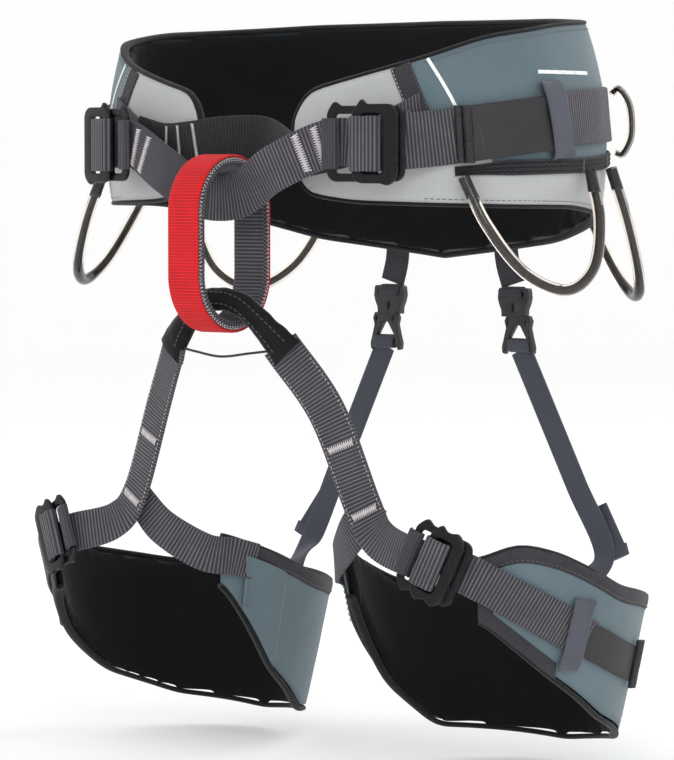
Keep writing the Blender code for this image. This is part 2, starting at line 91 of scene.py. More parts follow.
LEG_CENTRE = Vector((125.0, -11.0, 0.0))
LEG_HALF_WIDTH = 95.0
LEG_HALF_DEPTH = 101.0
LEG_START = 30.0
LEG_END = 308.0
LEG_TOP = [(30, -250), (45, -240), (60, -246), (90, -270), (130, -282), (180, -284), (235, -288), (262, -278),
           (290, -258), (308, -247)]
LEG_BOTTOM = [(30, -284), (45, -304), (60, -322), (90, -351), (130, -370), (180, -378), (250, -370),
              (280, -338), (308, -276)]
LEG_TAPER = 0.21
LEG_TAPER_TOP = -262.0
LEG_STRAP_RISE = [(10, -249), (24, -254), (45, -274), (70, -297), (95, -314), (113, -322)]
LEG_BUCKLE_THETA = 16.0
LEG_WEBBING_WIDTH = 25.0
RISER_BUCKLE_Z = -92.0
RISER_HANG = Vector((6.0, 0.0, -38.0))    # from the belt down to the clip, on the left
GEAR_LOOPS = (("front", 150.0, 244.0, 70.0, 34.0), ("rear", 274.0, 374.0, 84.0, 30.0))
TUBE_RADIUS = 3.7
CORE_RADIUS = 1.5
ACCESSORY_TUBE_RADIUS = 2.4
ACCESSORY_CORE_RADIUS = 1.0
FLOOR_Z = -0.392              # the studio is in metres, and wide enough for every view's camera
FLOOR_RADIUS = 6.4
WALL_CURVE = 2.8
WALL_TOP = 6.0
SIDES = ((1, "left"), (-1, "right"))
FRONT = Vector((0, -1, 0))
BACK = Vector((0, 1, 0))
UP = Vector((0, 0, 1))


# ---------------------------------------------------------------- camera
def place_camera():
    """A long lens at waist height, in front of the wearer's left side."""
    azimuth, elevation, distance = math.radians(38.0), math.radians(3.0), 2.6
    target = Vector((0.0, 0.0, -0.150))
    back = Vector((math.sin(azimuth) * math.cos(elevation), -math.cos(azimuth) * math.cos(elevation),
                   math.sin(elevation)))
    camera = bpy.data.objects.new("camera", bpy.data.cameras.new("camera"))
    camera.data.sensor_fit = "HORIZONTAL"
    camera.data.sensor_width = 36.0
    camera.data.lens = 215.2
    camera.data.shift_x = -0.0208
    camera.data.clip_end = 30.0
    camera.location = target + back * distance
    camera.rotation_euler = (-back).to_track_quat("-Z", "Y").to_euler()
    bpy.context.scene.collection.objects.link(camera)
    bpy.context.scene.camera = camera


place_camera()


# ---------------------------------------------------------------- curves
def profile(table, x):
    """Value at x in a table of (x, value) pairs, straight between them."""
    if x <= table[0][0]:
        return table[0][1]
    for (x0, v0), (x1, v1) in zip(table, table[1:]):
        if x <= x1:
            return v0 + (v1 - v0) * (x - x0) / (x1 - x0)
    return table[-1][1]


def smooth_profile(table, x, reach=14.0):
    """The same with its corners rounded over a distance."""
    shares = ((-1.0, 1), (-0.5, 2), (0.0, 3), (0.5, 2), (1.0, 1))
    return sum(profile(table, x + reach * place) * weight for place, weight in shares) / 9.0


def eased(t):
    t = min(max(t, 0.0), 1.0)
    return t * t * (3.0 - 2.0 * t)


def catmull(before, start, end, after, t):
    a = start * 2.0
    b = (end - before) * t
    c = (before * 2.0 - start * 5.0 + end * 4.0 - after) * (t * t)
    d = (start * 3.0 - before - end * 3.0 + after) * (t * t * t)
    return (a + b + c + d) * 0.5


def along(points, t):
    """Point at t (0 to 1) on a smooth curve through the given points."""
    spans = len(points) - 1
    place = min(max(t, 0.0), 1.0) * spans
    index = min(int(place), spans - 1)
    start = points[index]
    end = points[index + 1]
    before = points[index - 1] if index > 0 else start * 2.0 - end
    after = points[index + 2] if index + 2 <= spans else end * 2.0 - start
    return catmull(before, start, end, after, place - index)


def belt_plan(angle):
    depth = BELT_FRONT if math.cos(angle) > 0 else BELT_REAR
    sine = math.sin(angle)
    cosine = math.cos(angle)
    x = BELT_HALF_WIDTH * math.copysign(abs(sine) ** (2 / BELT_POWER), sine)
    y = -depth * math.copysign(abs(cosine) ** (2 / BELT_POWER), cosine)
    slope_x = math.copysign(abs(x / BELT_HALF_WIDTH) ** (BELT_POWER - 1), x) / BELT_HALF_WIDTH
    slope_y = math.copysign(abs(y / depth) ** (BELT_POWER - 1), y) / depth
    return Vector((x, y, 0.0)), Vector((slope_x, slope_y, 0.0)).normalized()


def belt_arcs(count=720):
    lengths = [0.0]
    last = belt_plan(0.0)[0]
    for index in range(1, count + 1):
        place = belt_plan(math.pi * index / count)[0]
        lengths.append(lengths[-1] + (place - last).length)
        last = place
    return lengths


ARCS = belt_arcs()
BELT_HALF = ARCS[-1]
BELT_ROUND = 2.0 * BELT_HALF


def belt_at(arc):
    """Plan point and normal at a signed arc length from the front middle."""
    if arc > BELT_HALF:
        arc -= BELT_ROUND
    size = min(abs(arc), BELT_HALF)
    index = min(int(np.searchsorted(ARCS, size, side="right")) - 1, len(ARCS) - 2)
    share = (size - ARCS[index]) / (ARCS[index + 1] - ARCS[index])
    angle = math.pi * (index + share) / (len(ARCS) - 1)
    return belt_plan(math.copysign(angle, arc) if arc else angle)


def belt_point(arc, z, offset):
    place, normal = belt_at(arc)
    return place + normal * (offset - BELT_BULGE * z * z) + Vector((0.0, 0.0, z))


def belt_reach(arc):
    """Distance from the front middle, the same on both sides."""
    return min(abs(arc), BELT_ROUND - abs(arc))


def belt_edges(arc):
    """Heights of the belt's lower and upper edge, drawn together at the rounded tips."""
    reach = belt_reach(arc)
    top = smooth_profile(BELT_TOP, reach)
    bottom = smooth_profile(BELT_BOTTOM, reach)
    share = min(max((reach - TIP_START) / TIP_ROUND, 0.0), 1.0)
    keep = (1.0 - (1.0 - share) ** 2.4) ** 0.5
    middle = 3.0
    return middle + (bottom - middle) * keep, middle + (top - middle) * keep


def leg_point(side, theta, z, offset):
    angle = math.radians(theta)
    offset -= LEG_TAPER * max(0.0, LEG_TAPER_TOP - z)
    x = LEG_CENTRE.x + (LEG_HALF_WIDTH + offset) * math.sin(angle)
    y = LEG_CENTRE.y - (LEG_HALF_DEPTH + offset) * math.cos(angle)
    return Vector((side * x, y, z))


def webbing_offset(arc):
    lift = 1.0 - eased((abs(arc) - BUCKLE_ARC) / 46.0)
    return 2.4 + BUCKLE_STANDOFF * lift


# ---------------------------------------------------------------- node helpers
def new_group(name, inputs, outputs):
    """A shader node group with named sockets; each is (name, kind, default)."""
    group = bpy.data.node_groups.new(name, "ShaderNodeTree")
    for socket, kind, default in inputs:
        made = group.interface.new_socket(socket, in_out="INPUT", socket_type="NodeSocket" + kind)
        made.default_value = default
    for socket, kind in outputs:
        group.interface.new_socket(socket, in_out="OUTPUT", socket_type="NodeSocket" + kind)
    return group, group.nodes.new("NodeGroupInput"), group.nodes.new("NodeGroupOutput")


def math_node(tree, operation, first, second=None):
    node = tree.nodes.new("ShaderNodeMath")
    node.operation = operation
    for index, value in enumerate((first, second)):
        if value is None:
            continue
        if isinstance(value, (int, float)):
            node.inputs[index].default_value = value
        else:
            tree.links.new(value, node.inputs[index])
    return node.outputs[0]


def mix_colour(tree, factor, first, second, blend="MIX"):
    node = tree.nodes.new("ShaderNodeMix")
    node.data_type = "RGBA"
    node.blend_type = blend
    for socket, value in ((node.inputs[0], factor), (node.inputs[6], first), (node.inputs[7], second)):
        if isinstance(value, (int, float)):
            socket.default_value = value
        elif isinstance(value, tuple):
            socket.default_value = (*value, 1.0)
        else:
            tree.links.new(value, socket)
    return node.outputs[2]


def noise(tree, coordinates, scale, detail=3.0, roughness=0.55):
    node = tree.nodes.new("ShaderNodeTexNoise")
    node.inputs["Roughness"].default_value = roughness
    for name, value in (("Scale", scale), ("Detail", detail)):
        if isinstance(value, (int, float)):
            node.inputs[name].default_value = value
        else:
            tree.links.new(value, node.inputs[name])
    tree.links.new(coordinates, node.inputs["Vector"])
    return node.outputs["Fac"]


def spread(tree, value, low, high, to_low=0.0, to_high=1.0):
    node = tree.nodes.new("ShaderNodeMapRange")
    node.inputs["From Min"].default_value = low
    node.inputs["From Max"].default_value = high
    node.inputs["To Min"].default_value = to_low
    node.inputs["To Max"].default_value = to_high
    tree.links.new(value, node.inputs["Value"])
    return node.outputs["Result"]


def build_weave_group():
    """Plain weave in a piece's own flat coordinates: over and under threads."""
    group, entry, leave = new_group("plain_weave", [("Threads per mm", "Float", 1.4)],
                                    [("Height", "Float"), ("Shade", "Float")])
    uv = group.nodes.new("ShaderNodeUVMap")
    split = group.nodes.new("ShaderNodeSeparateXYZ")
    group.links.new(uv.outputs["UV"], split.inputs[0])
    turns = math_node(group, "MULTIPLY", entry.outputs["Threads per mm"], math.pi * 100.0)
    across = math_node(group, "SINE", math_node(group, "MULTIPLY", split.outputs[0], turns))
    up = math_node(group, "SINE", math_node(group, "MULTIPLY", split.outputs[1], turns))
    weave = math_node(group, "MULTIPLY", across, up)
    height = spread(group, weave, -1.0, 1.0)
    group.links.new(height, leave.inputs["Height"])
    shade = math_node(group, "MULTIPLY", math_node(group, "ABSOLUTE", across),
                      math_node(group, "ABSOLUTE", up))
    group.links.new(shade, leave.inputs["Shade"])
    return group


def build_rib_group():
    """Crosswise ribs of webbing, with the yarn's fine cords along each rib; the rib-top mask also sets where
    a painted highlight goes.
    """
    group, entry, leave = new_group(
        "webbing_ribs", [("Pitch mm", "Float", RIB_PITCH), ("Sharpness", "Float", 1.5)],
        [("Crest", "Float"), ("Height", "Float")])
    uv = group.nodes.new("ShaderNodeUVMap")
    split = group.nodes.new("ShaderNodeSeparateXYZ")
    group.links.new(uv.outputs["UV"], split.inputs[0])
    length = math_node(group, "MULTIPLY", split.outputs[0], 100.0)
    phase = math_node(group, "DIVIDE", length, entry.outputs["Pitch mm"])
    wave = math_node(group, "COSINE", math_node(group, "MULTIPLY", phase, 2.0 * math.pi))
    # rib-top mask: shapes the bump and places the painted highlight used in ribbed_material
    lit_crest = math_node(group, "POWER", spread(group, wave, -1.0, 1.0), entry.outputs["Sharpness"])
    cords = math_node(group,
                      "SINE", math_node(group, "MULTIPLY", split.outputs[1], 100.0 * 2.0 * math.pi / 0.9))
    yarn = spread(group, cords, -1.0, 1.0, 0.72, 1.0)
    group.links.new(math_node(group, "MULTIPLY", lit_crest, yarn), leave.inputs["Crest"])
    height = math_node(group, "ADD", lit_crest, math_node(group, "MULTIPLY", cords, 0.18))
    group.links.new(height, leave.inputs["Height"])
    return group


def build_uneven_group():
    """Soft uneven dye and dust: a colour made lighter and darker in patches."""
    group, entry, leave = new_group(
        "uneven_colour", [("Color", "Color", (0.1, 0.1, 0.1, 1.0)), ("Amount", "Float", 0.25),
                          ("Scale", "Float", 30.0)], [("Color", "Color"), ("Patch", "Float")])
    place = group.nodes.new("ShaderNodeTexCoord")
    coarse = noise(group, place.outputs["Object"], entry.outputs["Scale"], 4.0, 0.6)
    fine = noise(group, place.outputs["Object"], 900.0, 2.0, 0.7)
    patch = math_node(group, "ADD", math_node(group, "MULTIPLY", coarse, 0.7),
                      math_node(group, "MULTIPLY", fine, 0.3))
    centred = math_node(group, "SUBTRACT", patch, 0.5)
    change = math_node(group, "MULTIPLY", centred, math_node(group, "MULTIPLY", entry.outputs["Amount"], 4.0))
    factor = math_node(group, "ADD", change, 1.0)
    scale = group.nodes.new("ShaderNodeVectorMath")
    scale.operation = "SCALE"
    group.links.new(entry.outputs["Color"], scale.inputs[0])
    group.links.new(factor, scale.inputs["Scale"])
    group.links.new(scale.outputs[0], leave.inputs["Color"])
    group.links.new(patch, leave.inputs["Patch"])
    return group


def build_wear_group():
    """Edges rubbed lighter, broken up by noise."""
    group, entry, leave = new_group(
        "rubbed_edges", [("Color", "Color", (0.02, 0.02, 0.02, 1.0)),
                         ("Edge Color", "Color", (0.2, 0.2, 0.2, 1.0)),
                         ("Amount", "Float", 0.5)], [("Color", "Color"), ("Mask", "Float")])
    shape = group.nodes.new("ShaderNodeNewGeometry")
    place = group.nodes.new("ShaderNodeTexCoord")
    edge = spread(group, shape.outputs["Pointiness"], 0.52, 0.62)
    broken = spread(group, noise(group, place.outputs["Object"], 420.0, 4.0, 0.7), 0.42, 0.6)
    mask = math_node(group, "MULTIPLY", math_node(group, "MULTIPLY", edge, broken), entry.outputs["Amount"])
    mixed = mix_colour(group, mask, entry.outputs["Color"], entry.outputs["Edge Color"])
    group.links.new(mixed, leave.inputs["Color"])
    group.links.new(mask, leave.inputs["Mask"])
    return group


def build_knit_group():
    """Fine slanting knit of elastic: ridges in a piece's flat coordinates."""
    group, entry, leave = new_group(
        "slanted_knit", [("Along", "Float", 1.3), ("Across", "Float", 1.6)], [("Height", "Float")])
    uv = group.nodes.new("ShaderNodeUVMap")
    split = group.nodes.new("ShaderNodeSeparateXYZ")
    group.links.new(uv.outputs["UV"], split.inputs[0])
    turn = 100.0 * 2.0 * math.pi
    first = math_node(group,
                      "MULTIPLY", math_node(group, "MULTIPLY", split.outputs[0], entry.outputs["Along"]),
                      turn)
    second = math_node(group,
                       "MULTIPLY", math_node(group, "MULTIPLY", split.outputs[1], entry.outputs["Across"]),
                       turn)
    slant = math_node(group, "SINE", math_node(group, "ADD", first, second))
    rows = math_node(group, "SINE", second)
    group.links.new(spread(group, math_node(group, "ADD", slant, rows), -2.0, 2.0), leave.inputs["Height"])
    return group


def build_grain_group():
    """Noise that stays fixed to a piece: grain, creases and smears."""
    group, entry, leave = new_group("fixed_grain", [("Scale", "Float", 100.0), ("Detail", "Float", 3.0)],
                                    [("Value", "Float")])
    place = group.nodes.new("ShaderNodeTexCoord")
    grain = noise(group, place.outputs["Object"], entry.outputs["Scale"], entry.outputs["Detail"])
    group.links.new(grain, leave.inputs["Value"])
    return group


GROUPS = {
    "grain": build_grain_group(),
    "weave": build_weave_group(),
    "ribs": build_rib_group(),
    "uneven": build_uneven_group(),
    "wear": build_wear_group(),
    "knit": build_knit_group(),
}


def use_group(tree, name, **values):
    node = tree.nodes.new("ShaderNodeGroup")
    node.node_tree = GROUPS[name]
    for key, value in values.items():
        socket = node.inputs[key.replace("_", " ")]
        if isinstance(value, tuple):
            socket.default_value = (*value, 1.0)
        elif isinstance(value, (int, float)):
            socket.default_value = value
        else:
            tree.links.new(value, socket)
    return node


def start_material(name, roughness, **sockets):
    """A Principled material; the sockets are constants on the shader."""
    made = bpy.data.materials.new(name)
    made.use_nodes = True
    shader = made.node_tree.nodes["Principled BSDF"]
    shader.inputs["Roughness"].default_value = roughness
    for key, value in sockets.items():
        socket = shader.inputs[key.replace("_", " ")]
        socket.default_value = (*value, 1.0) if isinstance(value, tuple) else value
    return made, made.node_tree, shader


def add_bump(tree, shader, height, distance, strength=1.0, below=None):
    """Bump of the given height in millimetres, on top of another bump when given."""
    bump = tree.nodes.new("ShaderNodeBump")
    bump.inputs["Distance"].default_value = distance * MM
    bump.inputs["Strength"].default_value = strength
    tree.links.new(height, bump.inputs["Height"])
    if below:
        tree.links.new(below, bump.inputs["Normal"])
    tree.links.new(bump.outputs["Normal"], shader.inputs["Normal"])
    return bump.outputs["Normal"]


def object_noise(tree, scale, detail=3.0):
    return use_group(tree, "grain", Scale=scale, Detail=detail).outputs["Value"]


def woven_material(name, colour, threads, amount=0.16, sheen=0.25, bump=0.12):
    """Plain woven fabric: uneven dye, visible threads and a faint crumple."""
    made, tree, shader = start_material(name, 0.82, Sheen_Weight=sheen, Sheen_Roughness=0.5,
                                        Specular_IOR_Level=0.25)
    uneven = use_group(tree, "uneven", Color=colour, Amount=amount, Scale=22.0)
    weave = use_group(tree, "weave", **{"Threads_per_mm": threads})
    shaded = mix_colour(tree, math_node(tree, "MULTIPLY", weave.outputs["Shade"], 0.30),
                        uneven.outputs["Color"], tuple(min(1.0, value * 1.7) for value in colour))
    tree.links.new(shaded, shader.inputs["Base Color"])
    crumple = add_bump(tree, shader, object_noise(tree, 55.0), 0.7, 0.5)
    add_bump(tree, shader, weave.outputs["Height"], bump, 0.8, crumple)
    return made


def padding_material(name, colour):
    """Brushed spacer mesh: small dimples and a soft nap."""
    made, tree, shader = start_material(name, 0.95, Sheen_Weight=0.10, Sheen_Roughness=0.35,
                                        Specular_IOR_Level=0.12)
    uneven = use_group(tree, "uneven", Color=colour, Amount=0.3, Scale=16.0)
    place = tree.nodes.new("ShaderNodeTexCoord")
    cells = tree.nodes.new("ShaderNodeTexVoronoi")
    cells.inputs["Scale"].default_value = 620.0
    tree.links.new(place.outputs["Object"], cells.inputs["Vector"])
    dimple = spread(tree, cells.outputs["Distance"], 0.0, 0.6)
    tinted = mix_colour(tree, math_node(tree, "MULTIPLY", dimple, 0.35), uneven.outputs["Color"],
                        tuple(value * 2.4 for value in colour))
    tree.links.new(tinted, shader.inputs["Base Color"])
    folds = add_bump(tree, shader, object_noise(tree, 38.0), 0.9, 0.6)
    add_bump(tree, shader, dimple, 0.15, 0.7, folds)
    return made


def ribbed_material(name, shaded_valley, lit_crest, pitch=RIB_PITCH, sharpness=1.6, bump=0.25, roughness=0.62,
                    sheen=0.12):
    """Ribbed webbing: rib tops coloured lighter as a painted highlight and grooves darker as painted shade,
    on top of the ribs' relief.
    """
    made, tree, shader = start_material(name, roughness, Sheen_Weight=sheen, Sheen_Roughness=0.4,
                                        Specular_IOR_Level=0.3)
    ribs = use_group(tree, "ribs", **{"Pitch_mm": pitch, "Sharpness": sharpness})
    uneven = use_group(tree, "uneven", Color=lit_crest, Amount=0.3, Scale=60.0)
    dark = use_group(tree, "uneven", Color=shaded_valley, Amount=0.3, Scale=40.0)
    # painted highlight on the rib tops and painted shade in the grooves, mixed by the rib-top mask
    tree.links.new(mix_colour(tree, ribs.outputs["Crest"], dark.outputs["Color"], uneven.outputs["Color"]),
                   shader.inputs["Base Color"])
    add_bump(tree, shader, ribs.outputs["Height"], bump, 0.9)
    return made


def elastic_material(name, colour, light):
    made, tree, shader = start_material(name, 0.8, Sheen_Weight=0.3, Sheen_Roughness=0.4,
                                        Specular_IOR_Level=0.25)
    knit = use_group(tree, "knit", Along=0.75, Across=0.9)
    uneven = use_group(tree, "uneven", Color=colour, Amount=0.2, Scale=45.0)
    mixed = mix_colour(tree, math_node(tree, "MULTIPLY", knit.outputs["Height"], 0.5),
                       uneven.outputs["Color"], light)
    tree.links.new(mixed, shader.inputs["Base Color"])
    add_bump(tree, shader, knit.outputs["Height"], 0.14, 0.9)
    return made


def coated_material(name, colour, roughness=0.5):
    """Webbing under a rubbery coat: pebbled grain, worn patches slightly glossier."""
    made, tree, shader = start_material(name, roughness, Specular_IOR_Level=0.45)
    uneven = use_group(tree, "uneven", Color=colour, Amount=0.35, Scale=70.0)
    worn = use_group(tree, "wear", Color=uneven.outputs["Color"], Edge_Color=(0.16, 0.16, 0.17), Amount=0.5)
    tree.links.new(worn.outputs["Color"], shader.inputs["Base Color"])
    tree.links.new(spread(tree, uneven.outputs["Patch"], 0.3, 0.7, roughness - 0.12, roughness + 0.14),
                   shader.inputs["Roughness"])
    grain = object_noise(tree, 760.0, 5.0)
    lumps = add_bump(tree, shader, object_noise(tree, 150.0), 0.6, 0.7)
    add_bump(tree, shader, grain, 0.3, 0.9, lumps)
    return made


def nap_material(name, colour):
    """Brushed sleeve: dark, lumpy nap."""
    made, tree, shader = start_material(name, 0.85, Sheen_Weight=0.9, Sheen_Roughness=0.3,
                                        Sheen_Tint=(0.5, 0.5, 0.55), Specular_IOR_Level=0.2)
    uneven = use_group(tree, "uneven", Color=colour, Amount=0.5, Scale=110.0)
    tree.links.new(uneven.outputs["Color"], shader.inputs["Base Color"])
    lumps = add_bump(tree, shader, object_noise(tree, 120.0), 0.8, 0.6)
    add_bump(tree, shader, object_noise(tree, 1500.0, 4.0), 0.2, 0.9, lumps)
    return made


def metal_material():
    """Black anodised aluminium: satin, edges rubbed to bare metal in places."""
    made, tree, shader = start_material("anodised_black", 0.32, Specular_IOR_Level=0.6)
    shader.inputs["Metallic"].default_value = 0.75
    worn = use_group(tree, "wear", Color=(0.012, 0.012, 0.014), Edge_Color=(0.30, 0.30, 0.31), Amount=0.45)
    tree.links.new(worn.outputs["Color"], shader.inputs["Base Color"])
    smear = object_noise(tree, 90.0, 5.0)
    tree.links.new(spread(tree, smear, 0.3, 0.7, 0.24, 0.44), shader.inputs["Roughness"])
    add_bump(tree, shader, object_noise(tree, 1300.0, 3.0), 0.03, 0.5)
    return made


def plastic_material():
    """Moulded black plastic: faint spark texture and pale scuffed edges."""
    made, tree, shader = start_material("moulded_black", 0.42, Specular_IOR_Level=0.5)
    worn = use_group(tree, "wear", Color=(0.014, 0.014, 0.015), Edge_Color=(0.09, 0.09, 0.09), Amount=0.6)
    tree.links.new(worn.outputs["Color"], shader.inputs["Base Color"])
    add_bump(tree, shader, object_noise(tree, 1100.0, 3.0), 0.05, 0.7)
    return made


def tube_material():
    """Clear plastic tube with a warm tint."""
    made, tree, shader = start_material("clear_tube", 0.04, IOR=1.46, Transmission_Weight=1.0,
                                        Specular_IOR_Level=0.6)
    tinted = use_group(tree, "uneven", Color=(0.90, 0.82, 0.74), Amount=0.04, Scale=35.0)
    tree.links.new(tinted.outputs["Color"], shader.inputs["Base Color"])
    tree.links.new(spread(tree, object_noise(tree, 130.0, 4.0), 0.3, 0.7, 0.015, 0.07),
                   shader.inputs["Roughness"])
    return made


def thread_material(name, colour):
    made, tree, shader = start_material(name, 0.6, Sheen_Weight=0.3, Specular_IOR_Level=0.4)
    uneven = use_group(tree, "uneven", Color=colour, Amount=0.35, Scale=300.0)
    tree.links.new(uneven.outputs["Color"], shader.inputs["Base Color"])
    add_bump(tree, shader, object_noise(tree, 1800.0, 2.0), 0.08, 0.8)
    return made


MATERIALS = {
    "padding": padding_material("black_spacer_mesh", (0.0062, 0.0062, 0.0070)),
    "blue_grey": woven_material("blue_grey_cloth", (0.105, 0.150, 0.172), 1.1),
    "light_grey": woven_material("light_grey_cloth", (0.43, 0.44, 0.445), 1.0, amount=0.10),
    "binding": woven_material("dark_binding", (0.0075, 0.0075, 0.009), 1.0, sheen=0.12),
    "trim": woven_material("charcoal_trim", (0.036, 0.034, 0.040), 0.6, amount=0.45, sheen=0.12, bump=0.3),
    # ribbed webbing colours: first the grooves' painted shade, then the rib tops' painted highlight
    "webbing": ribbed_material("ribbed_webbing", (0.030, 0.028, 0.034), (0.165, 0.158, 0.180), sharpness=2.2),
    "webbing_dark": ribbed_material("dark_webbing", (0.010, 0.010, 0.012), (0.034, 0.033, 0.040), pitch=1.9,
                                    sharpness=2.0),
    "webbing_plain": ribbed_material("close_webbing", (0.030, 0.028, 0.035), (0.075, 0.070, 0.085),
                                     pitch=1.5),
    "red": ribbed_material("red_webbing", (0.50, 0.003, 0.006), (0.82, 0.010, 0.018), pitch=1.9, bump=0.18,
                           sheen=0.03),
    "elastic": elastic_material("slate_elastic", (0.048, 0.053, 0.069), (0.135, 0.146, 0.178)),
    "keeper": elastic_material("slate_keeper", (0.060, 0.065, 0.083), (0.17, 0.18, 0.215)),
    "coated": coated_material("coated_charcoal", (0.021, 0.019, 0.022), 0.55),
    "folded": coated_material("folded_end", (0.010, 0.0095, 0.011), 0.30),
    "sleeve": nap_material("brushed_sleeve", (0.008, 0.008, 0.009)),
    "metal": metal_material(),
    "plastic": plastic_material(),
    "tube": tube_material(),
    "core": coated_material("loop_core", (0.010, 0.0095, 0.010), 0.35),
    "thread_light": thread_material("pale_thread", (0.62, 0.58, 0.60)),
    "thread_dark": thread_material("dark_thread", (0.10, 0.10, 0.11)),
    "reflective": thread_material("reflective_tape", (0.92, 0.93, 0.94)),
    "cord": thread_material("black_cord", (0.012, 0.012, 0.013)),
}


# ---------------------------------------------------------------- mesh helpers
def finish_piece(piece, body, slot_name, *nodes):
    """Ride a piece on its body and hide the nodes it stands for; slot_name is not used."""
    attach(piece, body)
    if nodes:
        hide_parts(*nodes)
    return piece


def blend_piece(piece, body, slot_name, ends, *nodes):
    """Bake a piece's transform into its mesh and hide the nodes it stands for; ends are in metres. body and
    slot_name are not used.
    """
    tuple(ends[0])
    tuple(ends[1])
    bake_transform(piece)
    if nodes:
        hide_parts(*nodes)


def mesh_piece(name, points, faces, material_name, uvs=None, sharp=50.0):
    """A smooth-shaded mesh object; points in millimetres, uvs one per point."""
    mesh = bpy.data.meshes.new(name)
    mesh.from_pydata([tuple(c * MM for c in point) for point in points], [], faces)
    mesh.materials.append(MATERIALS[material_name])
    if uvs is not None:
        layer = mesh.uv_layers.new(name="flat")
        table = np.asarray(uvs, np.float32)
        index = np.zeros(len(mesh.loops), np.int32)
        mesh.loops.foreach_get("vertex_index", index)
        layer.data.foreach_set("uv", table[index].ravel())
    mesh.validate()
    mesh.shade_smooth()
    mesh.set_sharp_from_angle(angle=math.radians(sharp))
    piece = bpy.data.objects.new(name, mesh)
    bpy.context.scene.collection.objects.link(piece)
    return piece


def ring_faces(stations, ring, closed):
    """Quads between successive rings of points, with end caps unless closed."""
    faces = []
    for station in range(stations if closed else stations - 1):
        here = station * ring
        after = ((station + 1) % stations) * ring
        for index in range(ring):
            step = (index + 1) % ring
            faces.append((here + index, here + step, after + step, after + index))
    if not closed:
        faces.append(tuple(reversed(range(ring))))
        last = (stations - 1) * ring
        faces.append(tuple(range(last, last + ring)))
    return faces


def strap_section(width, thickness, across_steps=7):
    """Half-round-edged section: (across, out, rib share) going once round."""
    half = thickness / 2
    top = []
    for step in range(across_steps):
        place = (step / (across_steps - 1) - 0.5) * (width - thickness)
        top.append((place, half, 1.0))
    edge = [(width / 2 - half * 0.3, half * 0.75, 0.6), (width / 2, 0.0, 0.3),
            (width / 2 - half * 0.3, -half * 0.75, 0.6)]
    bottom = [(-place, -out, share) for place, out, share in top]
    other = [(-place, -out, share) for place, out, share in edge]
    return top + edge + bottom + other


def strap(name, frames, width, thickness, material_name, relief=0.22, pitch=RIB_PITCH, closed=False,
          start=0.0,
          widths=None):
    """Webbing swept along frames of (centre, across, out), ribbed crosswise."""
    section = strap_section(width, thickness)
    points = []
    uvs = []
    length = start
    last = None
    for index, (centre, across, out) in enumerate(frames):
        if last is not None:
            length += (centre - last).length
        last = centre
        wave = 0.5 + 0.5 * math.cos(2.0 * math.pi * length / pitch)
        scale = widths(index / (len(frames) - 1)) if widths else 1.0
        for place, away, share in section:
            rise = math.copysign(relief * (wave - 0.5) * share, away) if abs(away) > 1e-6 else 0.0
            side_share = 1.0 if share < 0.9 else 0.0
            side_rise = relief * 0.5 * (wave - 0.5) * math.copysign(1.0, place) * side_share
            points.append(centre + across * (place * scale + side_rise) + out * (away + rise))
            uvs.append((length * 0.01, place * 0.01))
    faces = ring_faces(len(frames), len(section), closed)
    piece = mesh_piece(name, points, faces, material_name, uvs, sharp=60.0)
    return piece


def frames_along(route, facings, count):
    """Evenly spaced frames on a smooth route whose flat side looks along facings."""
    samples = [along(route, index / 400) for index in range(401)]
    lengths = [0.0]
    for before, after in zip(samples, samples[1:]):
        lengths.append(lengths[-1] + (after - before).length)
    frames = []
    for index in range(count):
        want = lengths[-1] * index / (count - 1)
        place = float(np.interp(want, lengths, np.linspace(0.0, 1.0, 401)))
        centre = along(route, place)
        ahead = along(route, min(place + 0.004, 1.0))
        behind = along(route, max(place - 0.004, 0.0))
        tangent = (ahead - behind).normalized()
        across = tangent.cross(along(facings, place)).normalized()
        frames.append((centre, across, across.cross(tangent).normalized()))
    return frames


def frames_on(place, count):
    """Frames from a function of t giving (point, across direction)."""
    centres = [place(index / (count - 1)) for index in range(count)]
    frames = []
    for index, (centre, across) in enumerate(centres):
        before = centres[max(index - 1, 0)][0]
        after = centres[min(index + 1, count - 1)][0]
        tangent = (after - before).normalized()
        flat = (across - tangent * across.dot(tangent)).normalized()
        frames.append((centre, flat, flat.cross(tangent).normalized()))
    return frames


def cloth_panel(name, columns, rows, place, thickness, material_name, crown=0.0, uv_place=None):
    """A closed fabric panel: an outer and an inner skin over place(u, v, offset) joined at a rolled rim."""
    points = []
    uvs = []
    for layer in (1, 0):
        for row in range(rows + 1):
            for column in range(columns + 1):
                u = column / columns
                v = row / rows
                edge = min(u * columns, (1 - u) * columns, v * rows, (1 - v) * rows)
                roll = min(1.0, 0.35 + edge * 0.4)
                puff = crown * math.sin(math.pi * v) ** 0.6 * math.sin(math.pi * u) ** 0.3 if crown else 0.0
                lift = (thickness * 0.5 * roll + puff) if layer else -thickness * 0.5 * roll
                points.append(place(u, v, lift))
                uvs.append(uv_place(u, v) if uv_place else (u, v))
    wide = columns + 1
    count = wide * (rows + 1)
    faces = []
    for row in range(rows):
        for column in range(columns):
            a = row * wide + column
            faces.append((a, a + 1, a + 1 + wide, a + wide))
            faces.append((count + a + wide, count + a + 1 + wide, count + a + 1, count + a))
    rim = [column for column in range(wide)]
    rim += [row * wide + columns for row in range(1, rows + 1)]
    rim += [rows * wide + column for column in range(columns - 1, -1, -1)]
    rim += [row * wide for row in range(rows - 1, 0, -1)]
    for here, after in zip(rim, rim[1:] + rim[:1]):
        faces.append((after, here, count + here, count + after))
    piece = mesh_piece(name, points, faces, material_name, uvs, sharp=80.0)
    fix_normals(piece)
    return piece


def fix_normals(piece):
    work = bmesh.new()
    work.from_mesh(piece.data)
    bmesh.ops.recalc_face_normals(work, faces=work.faces)
    work.to_mesh(piece.data)
    work.free()


